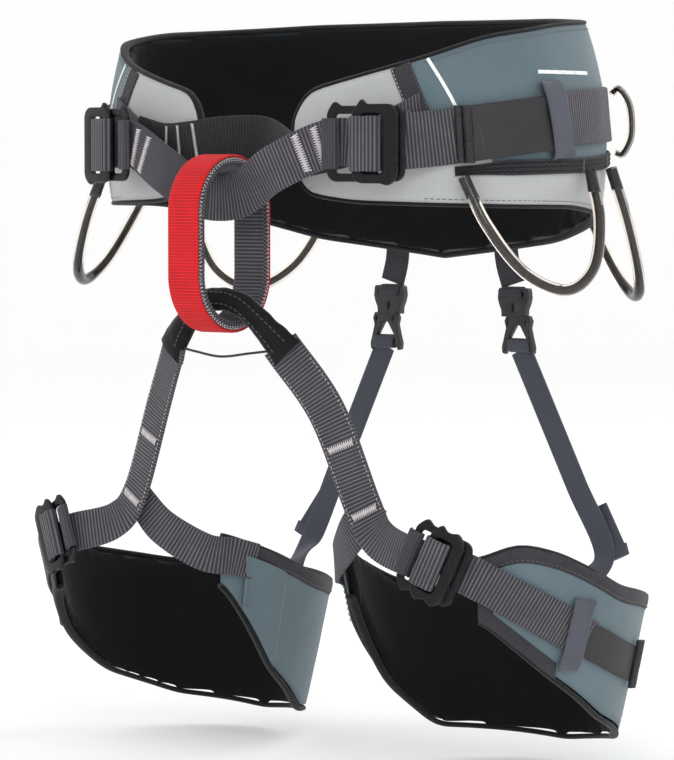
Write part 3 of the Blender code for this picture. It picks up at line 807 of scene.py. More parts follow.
def rope(name, route, radius, material_name, sides=10, closed=False):
    """A round tube through a list of points, as a mesh."""
    points = []
    uvs = []
    count = len(route)
    length = 0.0
    normal = None
    for index, centre in enumerate(route):
        before = route[index - 1] if (index or closed) else centre
        after = route[(index + 1) % count] if (index + 1 < count or closed) else centre
        tangent = (after - before).normalized()
        if normal is None:
            normal = tangent.orthogonal().normalized()
        normal = (normal - tangent * normal.dot(tangent)).normalized()
        side = tangent.cross(normal)
        if index:
            length += (centre - route[index - 1]).length
        for step in range(sides):
            angle = 2.0 * math.pi * step / sides
            points.append(centre + (normal * math.cos(angle) + side * math.sin(angle)) * radius)
            uvs.append((length * 0.01, radius * angle * 0.01))
    piece = mesh_piece(name, points, ring_faces(count, sides, closed), material_name, uvs)
    fix_normals(piece)
    return piece


def stitches(name, frames, material_name, stitch=2.2, gap=1.2, radius=0.32, slant=0.0):
    """A row of thread stitches that follows frames of (centre, across, out)."""
    points = []
    faces = []
    lengths = [0.0]
    for (before, _, _), (after, _, _) in zip(frames, frames[1:]):
        lengths.append(lengths[-1] + (after - before).length)
    table = np.array([[*centre, *across, *out] for centre, across, out in frames])

    def at(length):
        row = [float(np.interp(length, lengths, table[:, column])) for column in range(9)]
        return Vector(row[0:3]), Vector(row[3:6]), Vector(row[6:9])
    place = 0.0
    while place + stitch <= lengths[-1]:
        rings = []
        for share in (0.0, 0.2, 0.5, 0.8, 1.0):
            centre, across, out = at(place + stitch * share)
            swell = math.sin(math.pi * (0.12 + 0.76 * share))
            middle = centre + out * (radius * 0.9 * swell) + across * (slant * (share - 0.5))
            rings.append((middle, across, out, radius * (0.45 + 0.55 * swell)))
        base = len(points)
        for middle, across, out, size in rings:
            for step in range(6):
                angle = math.pi * step / 3
                points.append(middle + (across * math.cos(angle) + out * math.sin(angle)) * size)
        for quad in ring_faces(len(rings), 6, False):
            faces.append(tuple(base + corner for corner in quad))
        place += stitch + gap
    piece = mesh_piece(name, points, faces, material_name)
    fix_normals(piece)
    return piece


def bartack(name, centre, along_dir, across_dir, out, width, depth, material_name="thread_light", turns=None,
            radius=0.30):
    """A dense zigzag of thread across a strap."""
    turns = turns or max(6, int(width / 1.1))
    route = []
    for index in range(2 * turns + 1):
        place = index / (2 * turns) - 0.5
        swing = depth / 2 if index % 2 else -depth / 2
        lift = 0.15 * (index % 2)
        route.append(centre + across_dir * (place * width) + along_dir * swing + out * lift)
    fine = []
    for before, after in zip(route, route[1:]):
        fine += [before, before.lerp(after, 0.33) + out * radius, before.lerp(after, 0.67) + out * radius]
    fine.append(route[-1])
    return rope(name, fine, radius, material_name, sides=5)


def flat_plate(name, outlines, thickness, matrix, material_name, rounding=0.7):
    """A plate with rounded edges and holes, from closed outlines in millimetres."""
    curve = bpy.data.curves.new(name, "CURVE")
    curve.dimensions = "2D"
    curve.fill_mode = "BOTH"
    curve.extrude = (thickness / 2 - rounding) * MM
    curve.bevel_depth = rounding * MM
    curve.bevel_resolution = 3
    curve.offset = -rounding * MM
    for outline in outlines:
        spline = curve.splines.new("POLY")
        spline.points.add(len(outline) - 1)
        for point, (x, y) in zip(spline.points, outline):
            point.co = (x * MM, y * MM, 0.0, 1.0)
        spline.use_cyclic_u = True
    holder = bpy.data.objects.new(name + "_outline", curve)
    bpy.context.scene.collection.objects.link(holder)
    graph = bpy.context.evaluated_depsgraph_get()
    graph.update()
    mesh = bpy.data.meshes.new_from_object(holder.evaluated_get(graph))
    bpy.data.objects.remove(holder, do_unlink=True)
    work = bmesh.new()
    work.from_mesh(mesh)
    bmesh.ops.remove_doubles(work, verts=work.verts, dist=0.00001)
    work.to_mesh(mesh)
    work.free()
    mesh.materials.clear()
    mesh.materials.append(MATERIALS[material_name])
    mesh.transform(matrix)
    mesh.shade_smooth()
    mesh.set_sharp_from_angle(angle=math.radians(40))
    piece = bpy.data.objects.new(name, mesh)
    bpy.context.scene.collection.objects.link(piece)
    return piece


def lay_flat(centre, along_dir, up_dir):
    x_axis = along_dir.normalized()
    z_axis = x_axis.cross(up_dir).normalized()
    y_axis = z_axis.cross(x_axis)
    matrix = Matrix((x_axis, y_axis, z_axis)).transposed().to_4x4()
    matrix.translation = centre * MM
    return matrix


def rounded(width, height, radius, steps=6, centre=(0.0, 0.0)):
    outline = []
    for sign_x, sign_y, start in ((1, 1, 0), (-1, 1, 90), (-1, -1, 180), (1, -1, 270)):
        middle_x = centre[0] + sign_x * (width / 2 - radius)
        middle_y = centre[1] + sign_y * (height / 2 - radius)
        for step in range(steps + 1):
            angle = math.radians(start + 90 * step / steps)
            outline.append((middle_x + radius * math.cos(angle), middle_y + radius * math.sin(angle)))
    return outline


def plate_outline(width, height, radius, ears=()):
    """Rounded rectangle whose upper and lower edges swell into ears: (place, sign, width, rise)."""
    outline = []
    corners = rounded(width, height, radius, 8)
    for (x0, y0), (x1, y1) in zip(corners, corners[1:] + corners[:1]):
        steps = max(1, int(math.hypot(x1 - x0, y1 - y0) / 1.0))
        for step in range(steps):
            x = x0 + (x1 - x0) * step / steps
            y = y0 + (y1 - y0) * step / steps
            for place, sign, wide, rise in ears:
                if y * sign > height / 2 - radius * 0.6 and abs(x - place) < wide / 2:
                    y += sign * rise * math.cos(math.pi * (x - place) / wide) ** 2
            outline.append((x, y))
    return outline


def soft_tube(name, frames, radii, material_name, sides=20, lumps=0.0, lump_size=9.0, seed=0.0):
    """A tube of changing oval section: radii(t) gives half across and half thickness."""
    points = []
    uvs = []
    length = 0.0
    for index, (centre, across, out) in enumerate(frames):
        if index:
            length += (centre - frames[index - 1][0]).length
        wide, thick = radii(index / (len(frames) - 1))
        for step in range(sides):
            angle = 2.0 * math.pi * step / sides
            way = across * math.cos(angle) * wide + out * math.sin(angle) * thick
            swell = 1.0 + lumps * field.noise((centre + way) / lump_size + Vector((seed, 0.0, 0.0)))
            points.append(centre + way * swell)
            uvs.append((length * 0.01, angle * wide * 0.01))
    piece = mesh_piece(name, points, ring_faces(len(frames), sides, False), material_name, uvs)
    fix_normals(piece)
    return piece


# ---------------------------------------------------------------- padding
def flat_slab(name, spans, columns, rows, depth):
    """A closed slab in flat places: along its length, through its depth, up its height."""
    points = []
    for layer in (0.5, -0.5):
        for row in range(rows + 1):
            for column in range(columns + 1):
                place, low, high = spans(column / columns)
                points.append((place, depth * layer, low + (high - low) * row / rows))
    wide = columns + 1
    count = wide * (rows + 1)
    faces = []
    for row in range(rows):
        for column in range(columns):
            a = row * wide + column
            faces.append((a, a + 1, a + 1 + wide, a + wide))
            faces.append((count + a + wide, count + a + 1 + wide, count + a + 1, count + a))
    rim = [column for column in range(wide)]
    rim += [row * wide + columns for row in range(1, rows + 1)]
    rim += [rows * wide + column for column in range(columns - 1, -1, -1)]
    rim += [row * wide for row in range(rows - 1, 0, -1)]
    for here, after in zip(rim, rim[1:] + rim[:1]):
        faces.append((after, here, count + here, count + after))
    slab = mesh_piece(name, points, faces, "padding")
    fix_normals(slab)
    return slab


def applied(piece):
    """Mesh of a piece with its modifiers applied."""
    graph = bpy.context.evaluated_depsgraph_get()
    graph.update()
    return bpy.data.meshes.new_from_object(piece.evaluated_get(graph))


def swollen_slab(name, spans, columns, rows, depth, voxel, most):
    """Blow the slab up a little as cloth, with each point's travel held to a limit."""
    slab = flat_slab(name + "_slab", spans, columns, rows, depth)
    remesh = slab.modifiers.new("even_grid", "REMESH")
    remesh.mode = "VOXEL"
    remesh.voxel_size = voxel * MM
    slab.data = applied(slab)
    slab.modifiers.clear()
    before = np.array([vertex.co for vertex in slab.data.vertices])
    cloth = slab.modifiers.new("swell", "CLOTH")
    cloth.settings.use_pressure = True
    cloth.settings.uniform_pressure_force = 4.0
    cloth.settings.quality = 5
    cloth.settings.effector_weights.gravity = 0.0
    cloth.collision_settings.use_collision = False
    for step in range(1, 21):
        bpy.context.scene.frame_set(step)
    after = np.array([vertex.co for vertex in applied(slab).vertices])
    slab.modifiers.clear()
    bpy.context.scene.frame_set(1)
    travel = after - before
    size = np.linalg.norm(travel, axis=1, keepdims=True)
    travel *= np.minimum(1.0, most * MM / np.maximum(size, 1e-9))
    slab.data.vertices.foreach_set("co", (before + travel).astype(np.float32).ravel())
    finer = slab.modifiers.new("finer", "SUBSURF")
    finer.levels = 1
    finer.render_levels = 1
    mesh = applied(slab)
    bpy.data.objects.remove(slab, do_unlink=True)
    places = np.array([vertex.co for vertex in mesh.vertices]) / MM
    faces = [tuple(polygon.vertices) for polygon in mesh.polygons]
    bpy.data.meshes.remove(mesh)
    return places, faces


def crumple(along_place, up_place, seed):
    """Soft upright creases of lining fabric, in millimetres."""
    wide = field.noise(Vector((along_place / 15.0, up_place / 90.0, seed)))
    fine = field.noise(Vector((along_place / 5.0, up_place / 55.0, seed + 5.0)))
    patch = 0.5 + 0.5 * field.noise(Vector((along_place / 60.0, up_place / 60.0, seed + 9.0)))
    return wide * 0.9 + fine * 1.15 * patch


def wrap_padding(name, slab, wrap, body, node, flip, seed, outer, inner):
    """Bend the flat slab to shape; its outer face is held under the cloth it backs."""
    places, faces = slab
    points = []
    uvs = []
    for length, depth, height in places:
        inward = max(0.0, min(1.0, -depth / 2.0 + 0.5))
        depth_now = depth + crumple(length, height, seed) * inward
        points.append(wrap(length, height, max(inner, min(outer, depth_now + (outer + inner) / 2))))
        uvs.append((length * 0.01, height * 0.01))
    if flip:
        faces = [tuple(reversed(face)) for face in faces]
    piece = mesh_piece(name, points, faces, "padding", uvs, sharp=70.0)
    fix_normals(piece)
    return finish_piece(piece, body, "padding", node)


def make_waist_padding():
    def spans(u):
        arc = TIP_START + 1.5 + (BELT_ROUND - 2 * TIP_START - 3.0) * u
        low, high = belt_edges(arc)
        return arc - BELT_HALF, low - 0.6, high + 0.6
    slab = swollen_slab("waist", spans, 180, 22, 7.0, 4.5, 2.0)
    wrap_padding("waist_padding", slab, lambda length, height,
                 depth: belt_point(length + BELT_HALF, height, depth),
                 "waist", "waist_pad", False, 1.0, -0.9, -9.9)


def make_leg_padding():
    stretch = math.radians(1.0) * 98.0

    def spans(u):
        theta = LEG_START + 0.8 + (LEG_END - LEG_START - 1.6) * u
        low = smooth_profile(LEG_BOTTOM, theta, 7.0)
        high = smooth_profile(LEG_TOP, theta, 7.0)
        return theta * stretch, low - 0.6, high + 0.6
    slab = swollen_slab("leg", spans, 90, 20, 5.4, 4.5, 1.6)
    for side, word in SIDES:
        def wrap(length, height, depth, side=side):
            return leg_point(side, length / stretch, height, depth)
        wrap_padding("leg_padding_" + word, slab, wrap, "leg_loop_" + word, "leg_pad_" + word, side > 0,
                     3.0 + side, -0.9, -7.4)


# ---------------------------------------------------------------- belt cloth
def strip_height(arc):
    """Middle of the gear strip."""
    return smooth_profile(STRIP_RISE, belt_reach(arc))


def belt_cloth(name, start, end, low, high, material_name, offset=0.35, columns=150, rows=14, crown=0.35,
               seed=0.0):
    def place(u, v, lift):
        arc = start + (end - start) * u
        bottom, top = low(arc), high(arc)
        z = bottom + (top - bottom) * v
        ripple = 0.14 * field.noise(Vector((arc / 22.0, z / 16.0, seed)))
        return belt_point(arc, z, offset + lift + ripple)

    def flat(u, v):
        arc = start + (end - start) * u
        return arc * 0.01, (low(arc) + (high(arc) - low(arc)) * v) * 0.01
    return cloth_panel(name, columns, rows, place, 0.8, material_name, crown, flat)


def belt_line(start, end, height, offset, count=160):
    """Frames of a line on the belt: height(arc) and offset above the cloth."""
    def place(t):
        arc = start + (end - start) * t
        point = belt_point(arc, height(arc), offset)
        above = belt_point(arc, height(arc) + 1.0, offset)
        return point, (above - point).normalized()
    frames = frames_on(place, count)
    middle = Vector((0.0, 0.0, 0.0))
    flipped = frames[0][2].dot(frames[0][0] - Vector((middle.x, middle.y, frames[0][0].z))) < 0
    return [(centre, across, -out if flipped else out) for centre, across, out in frames]


def belt_cross(arc_low, z_low, arc_high, z_high, offset, count=40, bend=0.0):
    """Frames of a line that climbs the belt, bowed by bend millimetres."""
    def place(t):
        arc = arc_low + (arc_high - arc_low) * t + bend * math.sin(math.pi * t)
        z = z_low + (z_high - z_low) * t
        point = belt_point(arc, z, offset)
        beside = belt_point(arc + 1.0, z, offset)
        return point, (beside - point).normalized()
    frames = frames_on(place, count)
    out = belt_at(arc_low)[1]
    return [(centre, across, away if away.dot(out) > 0 else -away) for centre, across, away in frames]


def light_top(arc):
    """Where the light grey cloth ends: full height at the front, then down to the gear strip."""
    reach = belt_reach(arc)
    full = belt_edges(arc)[1] - 0.4
    behind_webbing = smooth_profile(WEBBING_RISE, reach)
    slant = full + (behind_webbing - full) * min(max((reach - 110.0) / 17.0, 0.0), 1.0)
    return slant + (strip_height(arc) - slant) * eased((reach - 158.0) / 14.0)


def make_belt_cloth():
    lower = lambda arc: belt_edges(arc)[0]
    upper = lambda arc: belt_edges(arc)[1]
    start = 110.5
    side = belt_cloth("side_cloth", start, BELT_ROUND - start, light_top, lambda arc: upper(arc) - 0.4,
                      "blue_grey",
                      offset=0.3, columns=280, rows=18, seed=2.0)
    finish_piece(side, "waist", "side_fabric", "waist_shell")
    start = TIP_START + 1.6
    light = belt_cloth("light_cloth", start, BELT_ROUND - start, lambda arc: lower(arc) + 0.4, light_top,
                       "light_grey",
                       offset=0.34, columns=420, rows=16, crown=0.45, seed=4.0)
    finish_piece(light, "waist", "front_fabric", "front_panel_left", "front_panel_right")
    for height, low_word in ((upper, "top"), (lower, "bottom")):
        frames = belt_line(TIP_START + 2.0, BELT_ROUND - TIP_START - 2.0, height, -1.6, 420)
        edge = soft_tube("belt_binding_" + low_word, frames, lambda t: (1.7, 3.0), "binding", 12)
        finish_piece(edge, "waist", "padding")
        seam_height = (lambda arc: upper(arc) - 3.4) if low_word == "top" else (lambda arc: lower(arc) + 3.0)
        seam = belt_line(126.0, BELT_ROUND - 126.0, seam_height, 0.95, 400)
        finish_piece(stitches("belt_stitch_" + low_word, seam, "thread_dark", 2.4, 1.3, 0.22), "waist",
                     "padding")
    for side, word in SIDES:
        tips = []
        for share in range(41):
            angle = share / 40
            arc = TIP_START + 2.0 - 0.4 * math.sin(math.pi * angle)
            low, high = belt_edges(TIP_START + 2.0)
            tips.append(belt_point(side * arc, low + (high - low) * angle, -0.6))
        finish_piece(rope("belt_tip_binding_" + word, tips, 1.7, "binding", 10), "waist", "padding")


def make_belt_marks():
    """Charcoal trim, reflective lines and seam stitching on the belt's cloth."""
    for side, word in SIDES:
        top = belt_edges(side * 110.0)[1]
        frames = belt_cross(side * 130.0, 6.0, side * 110.0, top - 0.6, 1.35, 60)
        frames = [(centre + out * (2.0 * eased(1.6 - index / 24.0)), across, out)
                  for index, (centre, across, out) in enumerate(frames)]
        trim = strap("trim_patch_" + word, frames, 13.0, 0.9, "trim", relief=0.0)
        finish_piece(trim, "waist", "coated_webbing")
        for shift in (-5.6, 5.6):
            line = [(centre + across * shift + out * 0.5, across, out) for centre, across, out in frames]
            name = "trim_stitch_" + ("in_" if shift < 0 else "out_") + word
            finish_piece(stitches(name, line, "thread_light" if shift < 0 else "thread_dark", 1.7, 1.0, 0.2),
                         "waist", "webbing")
        top = belt_edges(side * 127.5)[1]
        stripe = belt_cross(side * 150.0, 14.0, side * 127.5, top - 1.2, 1.25, 60, bend=side * 1.5)
        finish_piece(strap("reflective_slant_" + word, stripe, 2.2, 0.5, "reflective", relief=0.0),
                     "waist", "front_fabric")
        level = belt_line(side * 203.0, side * 256.0, lambda arc: 45.5, 1.15, 60)
        finish_piece(strap("reflective_level_" + word, level, 2.4, 0.5, "reflective", relief=0.0),
                     "waist", "front_fabric")


# ---------------------------------------------------------------- waist webbing
def webbing_line(start, end, rise, offset, count):
    """Frames along the belt webbing; rise moves it up and offset is a function of arc."""
    def place(t):
        arc = start + (end - start) * t
        z = smooth_profile(WEBBING_RISE, belt_reach(arc)) + rise
        point = belt_point(arc, z, offset(arc))
        above = belt_point(arc, z + 1.0, offset(arc))
        return point, (above - point).normalized()
    frames = frames_on(place, count)
    out = belt_at(start)[1]
    sign = 1.0 if frames[0][2].dot(out) > 0 else -1.0
    return [(centre, across, away * sign) for centre, across, away in frames]


def stations(length, pitch=RIB_PITCH):
    """Enough stations to draw each rib."""
    return max(8, int(length / pitch * 4))


def make_waist_webbing():
    start = BUCKLE_ARC + 4.0
    length = BELT_ROUND - 2 * start
    frames = webbing_line(start, BELT_ROUND - start, 0.0, lambda arc: webbing_offset(belt_reach(arc)),
                          stations(length))
    finish_piece(strap("waist_strap", frames, WEBBING_WIDTH, 2.0, "webbing", relief=0.34), "waist", "webbing",
                 "waist_webbing")
    for side, word in SIDES:
        lower = webbing_line(side * 90.0, side * 125.0, 0.0, lambda arc: 1.95, stations(35))
        tilted = [(centre + UP * (14.0 * index / len(lower) - 2.0), across, out)
                  for index, (centre, across, out) in enumerate(lower)]
        finish_piece(strap("under_strap_" + word, tilted, 34.0, 1.4, "webbing", relief=0.2), "waist",
                     "webbing")
        make_strap_tail(side, word)


def make_strap_tail(side, word):
    """The coated end of the waist strap, its rolled edge, keeper and gear strip."""
    tail_offset = 4.4
    tail = webbing_line(side * 153.0, side * 216.0, 0.0, lambda arc: tail_offset - 0.1, 90)
    piece = strap("strap_end_" + word, tail, 33.8, 1.9, "coated", relief=0.0)
    finish_piece(piece, "waist", "coated_webbing", "strap_tail_" + word)
    middle = smooth_profile(WEBBING_RISE, 151.0)
    for arc, wide, thick, tag in ((147.6, 2.6, 2.0, "low"), (152.6, 3.3, 3.1, "high")):
        below = belt_point(side * (arc + 1.0), middle - 17.6, tail_offset + 0.3)
        above = belt_point(side * (arc - 1.0), middle + 17.6, tail_offset + 0.3)
        out = belt_at(side * arc)[1]
        level = UP.cross(out).normalized()
        route = [(below.lerp(above, share / 30), level, out) for share in range(31)]
        roll = soft_tube("strap_roll_%s_%s" % (tag, word), route, lambda t, w=wide, k=thick: (w, k),
                         "folded", 18, 0.04)
        finish_piece(roll, "waist", "coated_webbing")
    marks = belt_cross(side * 162.0, middle - 7.0, side * 158.0, middle + 9.0, tail_offset + 0.8, 20)
    finish_piece(stitches("strap_end_stitch_" + word, marks, "thread_dark", 1.6, 0.9, 0.22), "waist",
                 "webbing")
    make_keeper(side, word)
    make_gear_strip(side, word)


def make_keeper(side, word):
    """Elastic loop that holds the strap's end: over the webbing and tucked behind it."""
    def place(t):
        arc = side * (219.0 - 11.0 * t)
        middle = smooth_profile(WEBBING_RISE, 214.0) + 1.0
        reach = 23.0
        turn = (t - 0.5) * 2.0
        z = middle + reach * math.sin(turn * math.pi / 2)
        lift = 2.2 + 4.4 * max(0.0, 1.0 - abs(turn) ** 4)
        point = belt_point(arc, z, lift)
        beside = belt_point(arc + 1.0, z, lift)
        return point, (beside - point).normalized()
    frames = frames_on(place, 60)
    out = belt_at(side * 214.0)[1]
    frames = [(centre, across, away if away.dot(out) > -0.3 else -away) for centre, across, away in frames]
    finish_piece(strap("keeper_" + word, frames, 18.0, 1.2, "keeper", relief=0.0), "waist", "elastic",
                 "strap_keeper_" + word)
    for edge in (-7.8, 7.8):
        line = [(centre + across * edge + away * 0.6, across, away) for centre, across, away in frames[4:-4]]
        name = "keeper_edge_" + ("near_" if edge < 0 else "far_") + word
        finish_piece(stitches(name, line, "thread_dark", 0.8, 0.7, 0.18), "waist", "elastic")


def make_gear_strip(side, word):
    """Braided strip the gear loops hang from, thicker between its ends."""
    def place(t):
        arc = side * (145.0 + 239.0 * t)
        z = strip_height(arc)
        point = belt_point(arc, z, 1.9)
        above = belt_point(arc, z + 1.0, 1.9)
        return point, (above - point).normalized()
    frames = frames_on(place, 240)
    out = belt_at(side * 145.0)[1]
    sign = 1.0 if frames[0][2].dot(out) > 0 else -1.0
    frames = [(centre, across, away * sign) for centre, across, away in frames]

    def widths(t):
        reach = 145.0 + 239.0 * t
        return 0.62 + 0.38 * eased((reach - 150.0) / 34.0)
    strip = strap("gear_strip_web_" + word, frames, 9.5, 1.4, "trim", relief=0.35, pitch=2.6, widths=widths)
    finish_piece(strip, "waist", "coated_webbing", "gear_strip_" + word)
    for shift, tag in ((-2.7, "low"), (0.0, "mid"), (2.7, "high")):
        line = [(centre + across * shift * widths(index / 239) + away * 0.75, across, away)
                for index, (centre, across, away) in enumerate(frames)]
        finish_piece(rope("gear_strip_braid_" + tag + "_" + word,
                          [centre + across * (0.35 * math.sin(index * 1.4)) for index, (centre, across, _)
                           in enumerate(line)], 0.75, "binding", 7), "waist", "coated_webbing")
    for arc in (241.0, 277.0, 376.0):
        index = int((arc - 145.0) / 239.0 * 239)
        centre, across, away = frames[index]
        tangent = (frames[index + 1][0] - frames[index - 1][0]).normalized()
        finish_piece(bartack("strip_tack_%d_%s" % (arc, word), centre + away * 1.0, tangent, across, away,
                             8.0, 2.4,
                             "thread_dark"), "waist", "webbing")


# ---------------------------------------------------------------- buckles
def waist_buckle(side):
    place, normal = belt_at(side * BUCKLE_ARC)
    centre = place + normal * webbing_offset(BUCKLE_ARC)
    centre.z = smooth_profile(WEBBING_RISE, BUCKLE_ARC)
    direction = UP.cross(normal)
    return centre + normal * 4.2, direction, normal, 1.0


def leg_buckle(side):
    spots = []
    for theta in (LEG_BUCKLE_THETA - 2.0, LEG_BUCKLE_THETA, LEG_BUCKLE_THETA + 2.0):
        spots.append(leg_point(side, theta, profile(LEG_STRAP_RISE, theta), 2.4))
    direction = (spots[2] - spots[0]).normalized() * side
    normal = direction.cross(UP).normalized()
    return spots[1] + normal * 4.2, direction, normal, 0.92


def bar_loop(name, centre, direction, up, normal, half, rise, width, body, depth=1.0,
             material_name="webbing"):
    """Webbing turned over a bar: comes up through one slot and goes down through the next."""
    route = []
    for step in range(49):
        turn = math.pi * step / 48
        flat = math.copysign(abs(math.cos(turn)) ** 0.6, math.cos(turn))
        route.append(centre - direction * (half * flat) + normal * (rise * math.sin(turn) ** 0.7 - depth))
    frames = []
    for index, point in enumerate(route):
        before = route[max(index - 1, 0)]
        after = route[min(index + 1, 48)]
        tangent = (after - before).normalized()
        across = up
        frames.append((point, across, across.cross(tangent).normalized()))
    if frames[24][2].dot(normal) < 0:
        frames = [(point, across, -out) for point, across, out in frames]
    piece = strap(name, frames, width, 1.8, material_name, relief=0.3, pitch=2.0)
    return finish_piece(piece, body, "webbing")


def make_buckle(prefix, side, word, spot, wide, lean, ears, slider_ears):
    """Slotted frame, slider on it, and the webbing turned over their bars; lean tips the outer end down."""
    centre, direction, normal, size = spot
    across = normal.cross(direction).normalized()
    if across.z < 0:
        across = -across
    direction = (direction - across * (side * math.tan(math.radians(lean)))).normalized()
    up = normal.cross(direction).normalized()
    if up.z < 0:
        up = -up
    body = "waist" if prefix == "waist" else "leg_loop_" + word
    slider_body = prefix + "_slider_" + word
    outline = plate_outline(42.0 * size * wide, 46.0 * size, 6.5 * size,
                            [(place * side * size, sign, wide * size, rise) for place, sign, wide,
                             rise in ears])
    slots = [rounded(10.0 * size * wide,
                     36.0 * size, 2.2, 5, (place * size * wide, 0.0)) for place in (-11.0, 11.0)]
    matrix = lay_flat(centre, direction, up)
    frame_piece = flat_plate(prefix + "_frame_plate_" + word, [outline, *slots], 2.7, matrix, "metal", 0.85)
    finish_piece(frame_piece, body, "buckle_metal", prefix + "_buckle_frame_" + word)
    slider_centre = centre + normal * 2.95 + direction * (side * (3.0 + 20.0 * (wide - 1.0)))
    outline = plate_outline(25.0 * size * wide, 48.0 * size, 7.0 * size,
                            [(place * side * size, sign, wide * size, rise) for place, sign, wide,
                             rise in slider_ears])
    slot = rounded(11.5 * size * wide, 36.0 * size, 2.6, 5, (-1.6 * side * size * wide, 0.0))
    slider = flat_plate(prefix + "_slider_plate_" + word, [outline, slot], 2.9,
                        lay_flat(slider_centre, direction, up), "metal", 0.95)
    finish_piece(slider, slider_body, "buckle_metal", prefix + "_buckle_slider_" + word)
    inboard = centre - direction * (side * 19.0 * size * wide)
    bar_loop(prefix + "_bar_loop_inboard_" + word, inboard + normal * 1.9, direction, up, normal,
             4.4 * size, 2.4,
             31.0 * size, body, 1.2, "webbing_plain")
    middle = slider_centre - direction * (side * 5.4 * size * wide)
    bar_loop(prefix + "_bar_loop_middle_" + word, middle + normal * 1.5, direction, up, normal,
             7.6 * size * wide, 3.6,
             33.5 * size, slider_body, 1.2)


def make_buckles():
    for side, word in SIDES:
        make_buckle("waist", side, word, waist_buckle(side), 1.2, 0.0, [(-20.0, 1, 10.0, 2.6)],
                    [(-8.5, 1, 8.0, 3.0), (8.0, -1, 12.0, 1.2)])
        make_buckle("leg", side, word, leg_buckle(side), 1.0, 12.0,
                    [(-15.0, 1, 11.0, 2.2), (-14.0, -1, 11.0, 2.0)],
                    [(-7.0, 1, 10.0, 2.4), (5.0, 1, 11.0, 1.6), (-6.0, -1, 10.0, 2.0), (6.0, -1, 10.0, 1.8)])


# ---------------------------------------------------------------- front straps and belay loop
def tie_in_ends():
    left, normal = belt_at(BUCKLE_ARC)
    left = left + normal * webbing_offset(BUCKLE_ARC)
    left.z = smooth_profile(WEBBING_RISE, BUCKLE_ARC)
    direction = UP.cross(normal)
    left = left - direction * 0.3
    return left, left - direction * 26.0 + normal, normal


def mirrored(points):
    return [Vector((-point.x, point.y, point.z)) for point in reversed(points)]


def make_tie_in():
    """Strap between the waist buckles through the belay loop, with the backing strap behind."""
    end, inboard, normal = tie_in_ends()
    half = [end, inboard, Vector((44, -134, -14)), Vector((16, -132, -29.5))]
    route = half + mirrored(half)
    faces = [normal, normal, FRONT, FRONT]
    facings = faces + mirrored(faces)
    frames = frames_along(route, facings, stations(245, 2.4))
    if frames[len(frames) // 2][2].dot(FRONT) < 0:
        frames = [(centre, across, -out) for centre, across, out in frames]
    count = len(frames)
    ribbed_half = [frame for frame in frames if frame[0].x > -8.0]
    plain_half = [frame for frame in frames if frame[0].x < -6.0]
    piece = strap("tie_in_webbing", ribbed_half, 29.5, 2.8, "webbing", relief=0.42, pitch=2.4)
    finish_piece(piece, "waist", "webbing", "tie_in_strap")
    piece = strap("tie_in_plain_half", plain_half, 29.5, 2.8, "webbing_plain", relief=0.2, pitch=2.4)
    finish_piece(piece, "waist", "webbing")
    for share, tag, sign in ((0.862, "outer", 1), (0.806, "inner", 1), (0.138, "outer", -1),
                             (0.194, "inner", -1)):
        use = share if frames[0][0].x < 0 else 1.0 - share
        index = int(use * (count - 1))
        centre, across, out = frames[index]
        tangent = (frames[index + 1][0] - frames[index - 1][0]).normalized()
        finish_piece(bartack("tie_in_tack_%s_%s" % (tag, "left" if sign > 0 else "right"), centre + out * 1.7,
                             tangent, across, out, 24.0, 5.2, "thread_light", turns=15, radius=0.42),
                     "waist", "webbing")


def make_backing_strap():
    """Dark strap behind the belay loop that joins the two front panels."""
    route = [Vector((-84, -113, 6)), Vector((-60, -115, 1)), Vector((-40, -113.5, 2)), Vector((-24, -100, 5)),
             Vector((0, -90.5, 5)), Vector((24, -100, -2)), Vector((40, -113.5, -6)), Vector((60, -115, -4)),
             Vector((84, -113, 1))]
    frames = frames_along(route, [FRONT] * 9, stations(190, 1.9))
    if frames[50][2].dot(FRONT) < 0:
        frames = [(centre, across, -out) for centre, across, out in frames]
    finish_piece(strap("backing_web", frames, 28.0, 1.8, "webbing_dark", relief=0.2, pitch=1.9), "waist",
                 "webbing",
                 "backing_strap")
    count = len(frames)
    for share in (0.15, 0.205, 0.26):
        index = int((share if frames[0][0].x < 0 else 1.0 - share) * count)
        centre, across, out = frames[index]
        tangent = (frames[index + 1][0] - frames[index - 1][0]).normalized()
        finish_piece(bartack("backing_tack_%d" % round(share * 1000), centre + out * 1.2, tangent, across,
                             out, 24.0,
                             2.0, "thread_light", turns=24, radius=0.28), "waist", "webbing")


def racetrack(height, depth, count):
    """Points and outward directions evenly round an upright oval in the YZ plane."""
    radius = depth / 2
    reach = height / 2 - radius
    total = 2 * math.pi * radius + 4 * reach
    spots = []
    for index in range(count):
        length = total * index / count
        if length < math.pi * radius:
            angle = length / radius
            spots.append((radius * math.cos(angle), reach + radius * math.sin(angle), math.cos(angle),
                          math.sin(angle)))
        elif length < math.pi * radius + 2 * reach:
            spots.append((-radius, reach - (length - math.pi * radius), -1.0, 0.0))
        elif length < 2 * math.pi * radius + 2 * reach:
            angle = math.pi + (length - math.pi * radius - 2 * reach) / radius
            spots.append((radius * math.cos(angle), -reach + radius * math.sin(angle), math.cos(angle),
                          math.sin(angle)))
        else:
            spots.append((radius, -reach + (length - 2 * math.pi * radius - 2 * reach), 1.0, 0.0))
    return spots, total


def ring_frames(height, depth, pitch):
    _, total = racetrack(height, depth, 8)
    ribs = round(total / pitch)
    count = ribs * 4
    spots, _ = racetrack(height, depth, count)
    frames = []
    for y, z, away_y, away_z in spots:
        centre = BELAY_CENTRE + Vector((0.0, y, z))
        frames.append((centre, Vector((1.0, 0.0, 0.0)), Vector((0.0, away_y, away_z))))
    return frames, total / ribs


